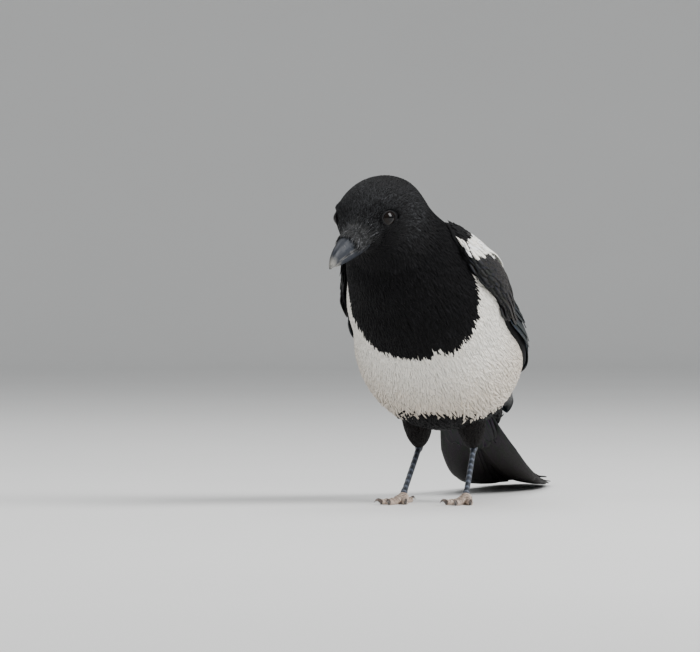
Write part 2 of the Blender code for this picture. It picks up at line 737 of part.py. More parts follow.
def build_tail(home):
    """Graduated tail of twelve feathers on the stump behind the rump, with its coverts."""
    places = np.linspace(TAIL_CUT + GAP, STUMP_END, 6)
    tail = loft("tail", body_rings(places, 20), "tail_plumage", home)
    vanes = []
    for rank, length in enumerate(RECTRIX_LENGTHS):
        for side in (1, -1):
            layer = rank + 1 if rank or side < 0 else 0
            vanes.append(tail_vane(length, RECTRIX_HALF_WIDTHS[rank], RECTRIX_SPREAD[rank], layer,
                                   side, home))
    for number, (lateral, tip) in enumerate(UPPER_COVERTS):
        lift = COVERT_LIFT * (number % 2)
        vanes.append(tail_covert(lateral, 12.0, tip, (1.0, 2.6 + lift, 1.6 + lift), 6.5, home))
    for number, (lateral, tip) in enumerate(LOWER_COVERTS):
        lift = COVERT_LIFT * (number % 2)
        vanes.append(tail_covert(lateral, 12.0, tip, (-4.5, -7.0 - lift, -7.2 - lift), 7.0, home))
    join_all(tail, vanes)


# Folded wing in plan: edges as angles round the body at places along it.
WING_PLACES = (17.0, 24.0, 38.0, 100.0, 120.0, 148.0, 175.0, 196.0)
WING_LOW_ANGLES = (78.0, 88.0, 95.0, 96.0, 98.0, 92.0, 74.0, 56.0)
WING_HIGH_ANGLES = (56.0, 46.0, 38.0, 28.0, 25.0, 22.0, 24.0, 34.0)
WING_START = 17.0
WING_CORE_END = 122.0
WING_CLEARANCE = 1.2
SHELL_THICKNESS = (1.6, 2.9, 2.0, 1.2, 0.6)
SHELL_PLACES = (17.0, 28.0, 70.0, 105.0, 122.0)

# Tiers of the folded wing, lowest first: number of feathers, places of the first and last
# root and tip, shares of the wing's height at root and tip, half width, height over the
# body, and rows of each feather's mesh.
WING_TIERS = {
    "primary": (4, (92.0, 84.0), (195.0, 162.0), (0.86, 0.70), (0.80, 0.52), 4.6, 2.5, 7),
    "secondary": (5, (76.0, 66.0), (150.0, 134.0), (0.74, 0.28), (0.84, 0.24), 4.4, 3.0, 5),
    "greater_covert": (5, (54.0, 50.0), (101.0, 94.0), (0.86, 0.30), (0.80, 0.30), 4.2, 3.9, 4),
    "median_covert": (3, (36.0, 34.0), (72.0, 69.0), (0.82, 0.44), (0.80, 0.44), 5.6, 4.4, 4),
    "scapular": (4, (26.0, 34.0), (78.0, 112.0), (0.34, 0.04), (0.24, 0.04), 5.4, 5.4, 5),
}


def wing_angle(place, share):
    """Angle round the body from the top, from the wing's upper (0) to its lower edge (1)."""
    high = np.interp(place, WING_PLACES, WING_HIGH_ANGLES)
    low = np.interp(place, WING_PLACES, WING_LOW_ANGLES)
    return high + (low - high) * share


def wing_core(side, word, home):
    """Shell over the flank that carries the wing's feathers, thickest at the bend."""
    place, share = np.meshgrid(np.linspace(WING_START, WING_CORE_END, 12), np.linspace(0.0, 1.0, 6),
                               indexing="ij")
    spot = body_point(place, side * wing_angle(place, share), WING_LUMPS, 1.0)
    rim = np.minimum(np.sin(share * math.pi) * 2.2, 1.0)
    front = np.clip((place - WING_START) / 8.0, 0.0, 1.0)
    lift = 0.5 + np.interp(place, SHELL_PLACES, SHELL_THICKNESS) * np.sqrt(rim * front)
    lower, _ = settle(spot, WING_LUMPS, WING_CLEARANCE)
    upper, _ = settle(spot, WING_LUMPS, WING_CLEARANCE + lift)
    return plate("wing_" + word, upper, lower, "flight_plumage", home)


def wing_vane(side, root, tip, half_width, height, rows, pitch, home):
    """One feather of the folded wing: a thin plate that lies to the body, raised along its
    lower edge so that it covers the next one below it, with its root sunk in the shell."""
    share = np.linspace(0.0, 1.0, rows)
    place = root[0] + (tip[0] - root[0]) * share
    level = root[1] + (tip[1] - root[1]) * share
    spine = body_point(place, side * wing_angle(place, level), WING_LUMPS, 1.0)
    spine, normal = settle(spine, WING_LUMPS, height)
    along = np.gradient(spine, axis=0)
    across = np.cross(normal, along) * side
    across /= np.linalg.norm(across, axis=1, keepdims=True)
    width = half_width * np.interp(share, (0.0, 0.34, 0.7, 1.0), (0.55, 1.0, 0.95, 0.35))
    rise = np.interp(share, (0.0, 0.5, 1.0), (SUNK_ROOT, height, height))
    column = np.array((-1.0, 0.0, 1.0))
    grid = spine[:, None, :] + across[:, None, :] * (width[:, None] * column)[..., None]
    lean = (VANE_STEP / pitch) * width[:, None] * column * np.minimum(share * 2.0, 1.0)[:, None]
    upper, _ = settle(grid, WING_LUMPS, rise[:, None] + lean + VANE_THICKNESS * 0.5)
    lower, _ = settle(grid, WING_LUMPS, rise[:, None] + lean - VANE_THICKNESS * 0.5)
    return plate("wing_vane", upper, lower, "flight_plumage", home)


def wing_tier(side, count, root_places, tip_places, root_levels, tip_levels, half_width, height,
              rows, home):
    """One row of feathers, from the wing's lower edge up."""
    vanes = []
    for number in range(count):
        step = number / (count - 1)
        root = (root_places[0] + (root_places[1] - root_places[0]) * step,
                root_levels[0] + (root_levels[1] - root_levels[0]) * step)
        tip = (tip_places[0] + (tip_places[1] - tip_places[0]) * step,
               tip_levels[0] + (tip_levels[1] - tip_levels[0]) * step)
        spacing = abs(root_levels[0] - root_levels[1]) * WING_HEIGHT / (count - 1)
        vanes.append(wing_vane(side, root, tip, half_width, height, rows,
                               max(spacing, TIGHTEST_PITCH), home))
    return vanes


def build_wing(word, home):
    """Folded wing: its shell and its tiers of feathers in one body."""
    side = SIDES[word]
    wing = wing_core(side, word, home)
    vanes = []
    for tier in WING_TIERS.values():
        vanes += wing_tier(side, *tier, home)
    join_all(wing, vanes)


def main():
    """Build every part of the bird."""
    clear_scene()
    home = new_collection(COLLECTION)
    cutters = new_collection(CUTTER_COLLECTION)
    build_head(home, cutters)
    build_neck(home)
    build_torso(home)
    build_eyes(home)
    build_bill(home, cutters)
    skin = as_cutter(loft("skin_cutter", body_rings(np.linspace(NECK_CUT, TAIL_CUT + 6.0, 28), 36, GAP),
                          "white_plumage", cutters))
    for word in SIDES:
        build_thigh(word, home, skin)
        build_tarsus(word, home)
        build_foot(word, home)
        build_claws(word, home)
        build_wing(word, home)
    build_tail(home)


main()
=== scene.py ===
# Eurasian magpie, life size: skin, feathers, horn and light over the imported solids.
# Lengths are in millimetres in the bird's own frame, forward, left and up with the floor at
# zero, and to_world turns them into metres with the bird facing -Y.

import math

import bmesh
import bpy
import numpy as np
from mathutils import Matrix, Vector


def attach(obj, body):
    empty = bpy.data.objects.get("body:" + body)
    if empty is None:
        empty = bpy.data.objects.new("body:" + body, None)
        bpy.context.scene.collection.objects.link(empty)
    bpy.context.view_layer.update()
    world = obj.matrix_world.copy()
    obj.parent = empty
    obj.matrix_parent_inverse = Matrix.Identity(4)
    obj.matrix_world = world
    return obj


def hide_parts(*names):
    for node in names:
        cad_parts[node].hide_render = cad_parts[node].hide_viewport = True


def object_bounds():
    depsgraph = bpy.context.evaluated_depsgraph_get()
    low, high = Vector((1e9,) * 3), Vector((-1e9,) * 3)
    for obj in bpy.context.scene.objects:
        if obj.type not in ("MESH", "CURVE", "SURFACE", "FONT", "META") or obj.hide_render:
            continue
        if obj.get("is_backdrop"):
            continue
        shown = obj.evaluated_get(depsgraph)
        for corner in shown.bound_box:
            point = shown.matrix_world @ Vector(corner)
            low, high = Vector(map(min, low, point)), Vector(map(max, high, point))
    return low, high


bl_info = {
    "name": "Eurasian Magpie",
    "version": (1, 0, 0),
    "blender": (4, 5, 0),
    "location": "3D View > Sidebar > Magpie",
    "description": "Dresses the magpie's solids with skin, feathers, horn and soft light",
    "category": "Object",
}

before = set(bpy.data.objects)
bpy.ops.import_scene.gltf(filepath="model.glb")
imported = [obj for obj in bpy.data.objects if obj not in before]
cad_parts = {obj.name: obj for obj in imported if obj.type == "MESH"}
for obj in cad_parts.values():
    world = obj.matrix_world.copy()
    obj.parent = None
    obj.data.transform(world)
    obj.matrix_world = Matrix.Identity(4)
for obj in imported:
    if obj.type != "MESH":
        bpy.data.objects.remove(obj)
CAD_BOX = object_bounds()

MM = 0.001
BODY = "root"
SIDES = {"left": 1, "right": -1}
FRAME_CENTRE = (-93.2, 0.0)

# Body as a smooth union of ellipsoids: centre (forward, left, up), half sizes (along, across,
# high), pitch and yaw in degrees. The head's lumps lie in its own frame and turn with it.
HEAD_CENTRE = (63.0, -13.0, 146.0)
HEAD_PITCH = -27.0
HEAD_YAW = -16.0
BODY_PITCH = 34.0
BLEND = 3.5
RAY_REACH = 84.0
RAY_STEP = 2.0
RAY_HALVINGS = 14
HEAD_LUMPS = (
    ((0.0, 0.0, 0.0), (21.5, 18.0, 13.9)),
    ((11.0, 0.0, -2.5), (12.5, 9.5, 9.0)),
    ((-6.0, 0.0, -6.0), (17.0, 17.0, 14.0)),
)
TRUNK_LUMPS = (
    ((47.0, -8.5, 133.0), (24.0, 20.0, 19.0), 50.0, -10.0),
    ((37.0, -4.0, 119.0), (28.0, 29.0, 25.0), 42.0, -5.0),
    ((14.0, 0.0, 101.0), (40.0, 38.5, 32.0), 38.0, 0.0),
    ((-15.0, 0.0, 78.0), (48.0, 41.5, 36.0), BODY_PITCH, 0.0),
    ((-52.0, 0.0, 62.0), (36.0, 20.5, 15.0), 30.0, 0.0),
    ((-82.0, 0.0, 49.0), (34.0, 15.0, 6.5), 26.0, 0.0),
)
WING_REAR_LUMP = ((-64.0, 0.0, 64.0), (62.0, 19.5, 14.0), 27.5, 0.0)
REAR_END = 182.0

# Bill, in the head's frame.
BILL_BASE = 18.6
BILL_TIP = 53.5
LOWER_TIP = 50.0
GAPE_HEIGHT = -4.6
CULMEN_HEIGHT = 7.8
CHIN_DEPTH = 5.6
BILL_HALF_WIDTH = 6.6
TIP_HOOK = 1.4
HOOK_START = 44.0
MOUTH_ARCH = 0.9
BILL_START = 23.2
SNOUT_REACH = 4.5
SNOUT_NARROWS = (0.27, 0.21)
FACE_RING = -30.0
FACE_START = -36.0
BILL_INSET = 1.6
BILL_TAPER = 0.55
BILL_CLOSE = 0.985
BILL_CLOSE_POWER = 2.3
BILL_ROUND = 0.85
BILL_GRID = (70, 33)
MUZZLE_END = 42.0
MUZZLE_TURN = (-1.0, math.pi + 1.0)
MUZZLE_JOIN = (20.5, 26.5)

# Eyes, in the head's frame, how far the coat lifts them, and the step up to the brow.
BROW_STEP = np.array((0.5, 0.0, 4.3))
BROW_HEIGHT = 0.8
EYE_PLACE = (12.8, 12.2, 1.9)
EYE_LIFT = 0.6

# Legs.
ANKLES = {"left": (-43.0, 11.6, 27.0), "right": (-42.0, -16.6, 27.0)}
FOOT_JOINTS = {"left": (-5.0, 16.3, 4.2), "right": (-5.0, -16.0, 4.2)}
KNEES = {"left": (-20.0, 14.5, 56.0), "right": (-20.0, -11.8, 56.0)}
ANKLE_RADIUS = 2.4
THIGH_RADIUS = 8.9
THIGH_TAPER = 3.0
THIGH_CUFF = 3.0
THIGH_BOW = 5.0
THIGH_TALL = 1.1
THIGH_SKIN = 0.9
TARSUS_HALF_WIDTH = 1.75
TOE_RADIUS = 1.75
TOE_SINK = 0.72
TOES = {
    "inner": (-17.0, 19.5, 8),
    "middle": (2.0, 26.0, 11),
    "outer": (19.0, 20.5, 9),
    "hind": (184.0, 12.5, 5),
}
CLAW_LENGTH = 8.5
CLAW_RADIUS = 1.15
CLAW_CLEARANCE = 0.2

# Tail.
TAIL_ROOT = (-64.0, 0.0, 60.3)
TAIL_PITCH = 34.0
TAIL_YAW = -3.5
TAIL_LENGTH = 240.0
TAIL_CAMBER = 160.0
TAIL_FAN = 130.0
TAIL_FLATTEN = 1.5
RECTRIX_LENGTHS = (240.0, 226.0, 207.0, 187.0, 165.0, 141.0)
RECTRIX_HALF_WIDTHS = (13.5, 11.0, 11.0, 11.0, 10.5, 10.0)
RECTRIX_SPREAD = (2.0, 7.5, 9.0, 10.5, 12.0, 13.5)
RECTRIX_LAYER = 0.88

# Folded wing: its edges as angles round the body at places along it.
WING_PLACES = (17.0, 24.0, 38.0, 100.0, 120.0, 148.0, 175.0, 196.0)
WING_LOW_ANGLES = (78.0, 88.0, 95.0, 96.0, 98.0, 92.0, 74.0, 56.0)
WING_HIGH_ANGLES = (56.0, 46.0, 38.0, 28.0, 25.0, 22.0, 24.0, 34.0)
WING_REACH = {1: 1.0, -1: 0.9}
WING_UNWRAP = ((14.0, 197.0), (-0.2, 1.2))

# Markings: where the black bib ends along the body at each angle from the back, and where the
# white belly gives way to the black vent.
BIB_ANGLES = (60.0, 72.0, 82.0, 98.0, 106.0, 120.0, 136.0, 150.0, 158.0, 166.0, 180.0)
BIB_PLACES = (24.0, 26.0, 31.0, 37.0, 42.0, 51.5, 58.0, 61.5, 59.5, 61.5, 60.5)
VENT_ANGLES = (70.0, 100.0, 124.0, 150.0, 160.0, 180.0)
VENT_PLACES = (154.0, 144.0, 134.0, 118.0, 107.0, 103.0)


# Seeds of the random draws, one for each group of pieces.
COAT_SEED = 400
SHANK_SEED = 450
WING_SEED = 500
TAIL_SEED = 600
BRISTLES = {"nasal_bristles": (1700, 77), "gape_bristles": (520, 78)}

UP = np.array((0.0, 0.0, 1.0))


# Frames and the body's field


def axes(pitch, yaw):
    """Forward, left and up unit vectors of a frame pitched and yawed, in degrees."""
    p, y = math.radians(pitch), math.radians(yaw)
    forward = np.array((math.cos(p) * math.cos(y), math.cos(p) * math.sin(y), math.sin(p)))
    left = np.array((-math.sin(y), math.cos(y), 0.0))
    return forward, left, np.cross(forward, left)


HEAD_AXES = np.array(axes(HEAD_PITCH, HEAD_YAW))


def from_head(points):
    """Points of the head's frame in the bird's frame."""
    return np.asarray(HEAD_CENTRE) + np.asarray(points, float) @ HEAD_AXES


def to_world(points):
    """Bird frame in millimetres to world metres, facing -Y."""
    points = np.asarray(points, float)
    forward = points[..., 0] - FRAME_CENTRE[0]
    left = points[..., 1] - FRAME_CENTRE[1]
    return np.stack((left, -forward, points[..., 2]), axis=-1) * MM


BODY_LUMPS = tuple((tuple(from_head(place)), sizes, HEAD_PITCH, HEAD_YAW)
                   for place, sizes in HEAD_LUMPS) + TRUNK_LUMPS
WING_LUMPS = BODY_LUMPS + (WING_REAR_LUMP,)

# Stations: place along the body, ring centre, plane angle and yaw in degrees.
RING_ANGLE = 90.0 + BODY_PITCH
STATIONS = (
    (FACE_RING, tuple(from_head((BILL_BASE, 0.0, -3.5))), 90.0 + HEAD_PITCH, HEAD_YAW),
    (-22.0, (74.0, -16.0, 139.0), 76.0, -16.0),
    (-14.0, (69.0, -14.6, 142.8), 92.0, -15.0),
    (-6.0, (62.0, -12.6, 143.6), 108.0, -12.0),
    (0.0, (57.0, -11.0, 141.0), 118.0, -9.0),
    (8.0, (52.0, -9.5, 135.0), RING_ANGLE, -6.0),
    (20.0, (45.0, -7.0, 125.0), RING_ANGLE, -4.0),
    (40.0, (30.0, -3.0, 111.6), RING_ANGLE, 0.0),
    (77.0, (0.0, 0.0, 90.0), RING_ANGLE, 0.0),
    (110.0, (-29.2, 0.0, 74.3), RING_ANGLE, 0.0),
    (132.0, (-50.0, 0.0, 66.0), RING_ANGLE, 0.0),
    (150.0, (-65.7, 0.0, 56.8), RING_ANGLE, 0.0),
    (180.0, (-93.1, 0.0, 43.9), RING_ANGLE, 0.0),
    (195.0, (-106.4, 0.0, 36.8), RING_ANGLE, 0.0),
)


def unit(vectors):
    """Vectors of length one."""
    return vectors / np.maximum(np.linalg.norm(vectors, axis=-1, keepdims=True), 1e-9)


def together(*parts):
    """Arrays spread to one shape and stacked along a last axis."""
    return np.stack(np.broadcast_arrays(*parts), axis=-1)


def full_turn(count):
    """Angles of a full turn in equal steps."""
    return np.arange(count) * 2.0 * math.pi / count


def lump_distance(points, lump):
    """Nearly the distance to an ellipsoid: k0 (k0 - 1) / k1 of the scaled point."""
    centre, sizes, pitch, yaw = lump
    scaled = ((points - np.asarray(centre)) @ np.array(axes(pitch, yaw)).T) / np.asarray(sizes)
    near = np.linalg.norm(scaled, axis=-1)
    steep = np.linalg.norm(scaled / np.asarray(sizes), axis=-1)
    return near * (near - 1.0) / np.maximum(steep, 1e-6)


def distance(points, lumps):
    """Smooth union of the ellipsoids: the soft minimum of their distances."""
    values = np.stack([lump_distance(points, lump) for lump in lumps])
    least = values.min(axis=0)
    return least - BLEND * np.log(np.exp((least - values) / BLEND).sum(axis=0))


def station(places):
    """Ring centres, side and up directions at places along the body, between the stations."""
    table = np.array([(entry[0], *entry[1], entry[2], entry[3]) for entry in STATIONS])
    values = [np.interp(places, table[:, 0], table[:, k]) for k in range(1, 6)]
    angle, yaw = np.radians(values[3]), np.radians(values[4])
    side = together(-np.sin(yaw), np.cos(yaw), 0.0)
    up = together(np.cos(angle) * np.cos(yaw), np.cos(angle) * np.sin(yaw), np.sin(angle))
    return np.stack(values[:3], axis=-1), side, up


def body_point(places, angles, lumps):
    """Points where rays at angles from the top leave the body: by steps, then by halving."""
    places, angles = np.broadcast_arrays(np.asarray(places, float), np.asarray(angles, float))
    centres, sides, ups = station(places)
    turn = np.radians(angles)[..., None]
    ways = ups * np.cos(turn) + sides * np.sin(turn)
    steps = np.arange(0.0, RAY_REACH, RAY_STEP)
    outside = np.stack([distance(centres + ways * step, lumps) > 0.0 for step in steps], axis=-1)
    first = np.maximum(outside.argmax(axis=-1), 1)
    near, far = steps[first - 1], steps[first]
    for _ in range(RAY_HALVINGS):
        middle = 0.5 * (near + far)
        out = distance(centres + ways * middle[..., None], lumps) > 0.0
        near, far = np.where(out, near, middle), np.where(out, middle, far)
    return centres + ways * near[..., None]


def wing_angle(place, share):
    """Angle round the body from the top, from the wing's upper (0) to its lower edge (1)."""
    high = np.interp(place, WING_PLACES, WING_HIGH_ANGLES)
    low = np.interp(place, WING_PLACES, WING_LOW_ANGLES)
    return high + (low - high) * share


class Sheet:
    """Surface on an even grid of two parameters, read between its points by straight lines."""

    def __init__(self, first, second, points, sign):
        self.first, self.second = first, second
        ahead = np.gradient(points, first, axis=0)
        beside = np.gradient(points, second, axis=1)
        normal = unit(np.cross(ahead, beside)) * sign
        self.layers = np.concatenate((points, normal, ahead, beside), axis=-1)

    def read(self, first, second):
        """Point, normal, and change for each unit of the first and second parameter."""
        spans = []
        for value, line in ((first, self.first), (second, self.second)):
            spot = np.clip((value - line[0]) / (line[1] - line[0]), 0.0, len(line) - 1.001)
            cell = spot.astype(int)
            spans.append((cell, (spot - cell)[..., None]))
        (i, a), (j, b) = spans
        grid = self.layers
        value = ((grid[i, j] * (1 - a) + grid[i + 1, j] * a) * (1 - b)
                 + (grid[i, j + 1] * (1 - a) + grid[i + 1, j + 1] * a) * b)
        return value[..., :3], unit(value[..., 3:6]), value[..., 6:9], value[..., 9:12]


def snout_rings(points, share):
    """Dome before the face's first ring: at a share 0 to 1 it has gone forward by the share's
    sine and closed in on the bill by parts of the share and of its square."""
    nose = points.mean(axis=-2, keepdims=True)
    ahead = HEAD_AXES[0] * (SNOUT_REACH * np.sin(share * math.pi / 2.0))
    return nose + (points - nose) * snout_width(share) + ahead


def snout_width(share):
    """Width of the dome before the face, as a share of the face's first ring."""
    return 1.0 - SNOUT_NARROWS[0] * share - SNOUT_NARROWS[1] * share ** 2


def body_sheet():
    """The body from the bill's base to the tail's stump; angles run a little past a full turn."""
    places, angles = np.arange(FACE_START, REAR_END + 0.5, 1.0), np.arange(-225.0, 225.5, 2.5)
    points = body_point(np.maximum(places, FACE_RING)[:, None], angles[None, :], BODY_LUMPS)
    share = np.clip((FACE_RING - places) / (FACE_RING - FACE_START), 0.0, 1.0)[:, None, None]
    return Sheet(places, angles, snout_rings(points, share), -1.0)


def wing_sheet(side):
    """Outer face of the side that the folded wing lies on, by place and share of its height."""
    places, shares = np.arange(*WING_UNWRAP[0], 1.0), np.linspace(*WING_UNWRAP[1], 57)
    angles = side * wing_angle(places[:, None], shares[None, :] * WING_REACH[side])
    points = body_point(places[:, None], angles, WING_LUMPS)
    return Sheet(places, shares, points, -side)


def tail_sheet():
    """The tail's middle sheet: its pitch falls to level at the longest feather's tip, and it
    droops to both sides as the square of the distance from its middle line."""
    along, lateral = np.arange(0.0, TAIL_LENGTH + 1.0, 2.0), np.arange(-44.0, 45.0, 2.0)
    fine = np.linspace(0.0, TAIL_LENGTH, 241)
    pitch = math.radians(TAIL_PITCH) * (1.0 - fine / TAIL_LENGTH) ** TAIL_FLATTEN
    middle = 0.5 * (pitch[1:] + pitch[:-1])
    reach, drop = (np.interp(along, fine, np.append(0.0, np.cumsum(np.diff(fine) * part(middle))))
                   for part in (np.cos, np.sin))
    slope = np.interp(along, fine, pitch)
    yaw = math.radians(TAIL_YAW)
    back = np.array((-math.cos(yaw), math.sin(yaw), 0.0))
    left = np.array((math.sin(yaw), math.cos(yaw), 0.0))
    normal = np.cos(slope)[:, None] * UP + np.sin(slope)[:, None] * back
    line = np.asarray(TAIL_ROOT) + reach[:, None] * back - drop[:, None] * UP
    fall = lateral ** 2 / (2.0 * TAIL_CAMBER)
    points = (line[:, None, :] + left * lateral[None, :, None]
              - normal[:, None, :] * fall[None, :, None])
    return Sheet(along, lateral, points, -1.0)


# Meshes


def faces_to_mesh(name, points, faces, count=1, mark=None, vane=None, patch=None):
    """Mesh of many copies of one face list, each over its own run of bird-frame points.

    mark is a colour and a share for each point, vane the millimetres across and along a
    feather with a random number, and patch each point's place on the OFBake map. Each is
    spread over the points where it has fewer values."""
    points = np.asarray(points, float)

    def spread(data, width):
        flat = np.broadcast_to(data, (*points.shape[:-1], width)).reshape(-1, width)
        return flat.astype(np.float32)

    corner = to_world(points).reshape(-1, 3)
    sizes = np.tile([len(face) for face in faces], count)
    corners = np.concatenate([np.asarray(face) for face in faces])
    corners = (corners[None, :] + np.arange(count)[:, None] * (len(corner) // count)).ravel()
    mesh = bpy.data.meshes.new(name)
    mesh.vertices.add(len(corner))
    mesh.vertices.foreach_set("co", corner.astype(np.float32).ravel())
    mesh.loops.add(len(corners))
    mesh.loops.foreach_set("vertex_index", corners.astype(np.int32))
    mesh.polygons.add(len(sizes))
    mesh.polygons.foreach_set("loop_start", (np.cumsum(sizes) - sizes).astype(np.int32))
    mesh.polygons.foreach_set("use_smooth", np.ones(len(sizes), bool))
    if patch is not None:
        uv = mesh.uv_layers.new(name="OFBake").data
        uv.foreach_set("uv", spread(patch, 2)[corners].ravel())
    for key, kind, field, data, width in (("mark", "FLOAT_COLOR", "color", mark, 4),
                                          ("vane", "FLOAT_VECTOR", "vector", vane, 3)):
        if data is not None:
            kept = mesh.attributes.new(key, kind, "POINT").data
            kept.foreach_set(field, spread(data, width).ravel())
    mesh.update(calc_edges=True)
    made = bpy.data.objects.new(name, mesh)
    bpy.context.scene.collection.objects.link(made)
    return made


def finish_piece(item, material, slot, replaces=()):
    """Give a piece its material and body, and hide the solids it stands for; slot is not used."""
    item.data.materials.clear()
    item.data.materials.append(material)
    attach(item, BODY)
    if replaces:
        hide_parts(*replaces)
    return item


def grid_quads(rows, columns, closed=False):
    """Quads of points in rows; where closed, the last column joins the first."""
    row, column = np.meshgrid(np.arange(rows - 1), np.arange(columns - (not closed)),
                              indexing="ij")
    a, b = row * columns + column, row * columns + (column + 1) % columns
    return np.stack((a, b, b + columns, a + columns), axis=-1).reshape(-1, 4)


def tube_faces(rings, sides):
    """Quads between rings of a tube, with a fan over each end round a last pair of points."""
    near, far, last = rings * sides, rings * sides + 1, (rings - 1) * sides
    turn = np.arange(sides)
    caps = [(near, (k + 1) % sides, k) for k in turn]
    caps += [(far, last + k, last + (k + 1) % sides) for k in turn]
    return [*grid_quads(rings, sides, True), *caps]


def tube(name, rings, mark=None, vane=None):
    """Closed tube through rings of points, capped round their middles and turned outwards."""
    count, sides = rings.shape[:2]

    def capped(data):
        if data is None:
            return None
        width = np.shape(data)[-1]
        data = np.broadcast_to(data, (count, sides, width))
        ends = (data[0].mean(axis=0), data[-1].mean(axis=0))
        return np.concatenate((data.reshape(-1, width), ends))

    ring_place, side_place = np.meshgrid(np.linspace(*PATCH_SPAN, count),
                                         np.linspace(*PATCH_SPAN, sides), indexing="ij")
    made = faces_to_mesh(name, capped(rings), tube_faces(count, sides), 1, capped(mark),
                         capped(vane), capped(together(side_place, ring_place)))
    turn_outwards(made)
    return made


def turn_outwards(item):
    """Turn the faces of a closed mesh outwards."""
    shape = bmesh.new()
    shape.from_mesh(item.data)
    bmesh.ops.recalc_face_normals(shape, faces=shape.faces)
    shape.to_mesh(item.data)
    shape.free()


def rings_across(path, wide, tall):
    """Rings across a path, from offsets to its side on the level and up from both."""
    along = unit(np.gradient(path, axis=0))
    side = unit(np.cross(UP, along))
    up = np.cross(along, side)
    return path[:, None] + side[:, None] * wide[..., None] + up[:, None] * tall[..., None]


def path_rings(path, radius_side, radius_up, sides):
    """Ellipses across a path, of half widths to the side and up."""
    turn = full_turn(sides) - math.pi / 2.0
    return rings_across(path, radius_side[:, None] * np.cos(turn),
                        radius_up[:, None] * np.sin(turn))


def ball_grid(rings, sides, gap):
    """Unit ball as rings that stop a gap short of its poles, and the rings' angles."""
    polar, turn = np.linspace(gap, math.pi - gap, rings), full_turn(sides)
    wide = np.sin(polar)[:, None]
    return together(wide * np.cos(turn), wide * np.sin(turn), np.cos(polar)[:, None]), polar


# Feathers

# A small feather: a root point, three rings of left, middle and right points, and a tip.
LENS_FACES = [(0, 1, 2), (0, 2, 3), (0, 3, 1)]
for first_point in (1, 4):
    l, m, r = first_point, first_point + 1, first_point + 2
    LENS_FACES += [(l, l + 3, m + 3, m), (m, m + 3, r + 3, r), (r, r + 3, l + 3, l)]
LENS_FACES += [(7, 10, 8), (8, 10, 9), (9, 10, 7)]
LENS_SHARES = np.array((0.0, 0.3, 0.62, 0.88, 1.0))
LENS_WIDTHS = np.array((0.72, 1.0, 0.62))
LENS_COUNT = 11
PATCH = 0.0015
PATCH_SPAN = (0.02, 0.98)
SEED_CELLS = 180
SEED_STEPS = (0.7548776662466927, 0.5698402909980532)
SHAFT_WIDTH = 0.45
SHAFT_HEIGHT = 0.22


def spread_seeds(sheet, first_span, second_span, density, shift=0.5):
    """Evenly scattered places on a sheet, as many for each square millimetre as density says.

    The plastic-number sequence fills a square evenly, and the running sums of density times
    area along each parameter carry the square onto the sheet."""
    first = np.linspace(*first_span, SEED_CELLS + 1)
    second = np.linspace(*second_span, SEED_CELLS + 1)
    mid_first, mid_second = 0.5 * (first[1:] + first[:-1]), 0.5 * (second[1:] + second[:-1])
    grid_first, grid_second = np.meshgrid(mid_first, mid_second, indexing="ij")
    _, _, ahead, beside = sheet.read(grid_first, grid_second)
    area = np.linalg.norm(np.cross(ahead, beside), axis=-1)
    area *= (first[1] - first[0]) * (second[1] - second[0])
    weight = np.maximum(density(grid_first, grid_second) * area, 0.0)
    count = int(round(weight.sum()))
    one, two = ((shift + np.arange(count) * step) % 1.0 for step in SEED_STEPS)
    rows = np.concatenate(((0.0,), np.cumsum(weight.sum(axis=1))))
    rows /= rows[-1]
    place = np.interp(one, rows, first)
    row = np.clip(np.searchsorted(first, place) - 1, 0, SEED_CELLS - 1)
    sums = np.cumsum(weight + 1e-12, axis=1)
    sums /= sums[:, -1:]
    flat = (sums + np.arange(len(sums))[:, None]).ravel()
    cell = np.clip(np.searchsorted(flat, row + two) - row * SEED_CELLS, 0, SEED_CELLS - 1)
    low = np.where(cell > 0, sums[row, np.maximum(cell - 1, 0)], 0.0)
    share = (two - low) / np.maximum(sums[row, cell] - low, 1e-9)
    return place, second[cell] + np.clip(share, 0.0, 1.0) * (second[1] - second[0])


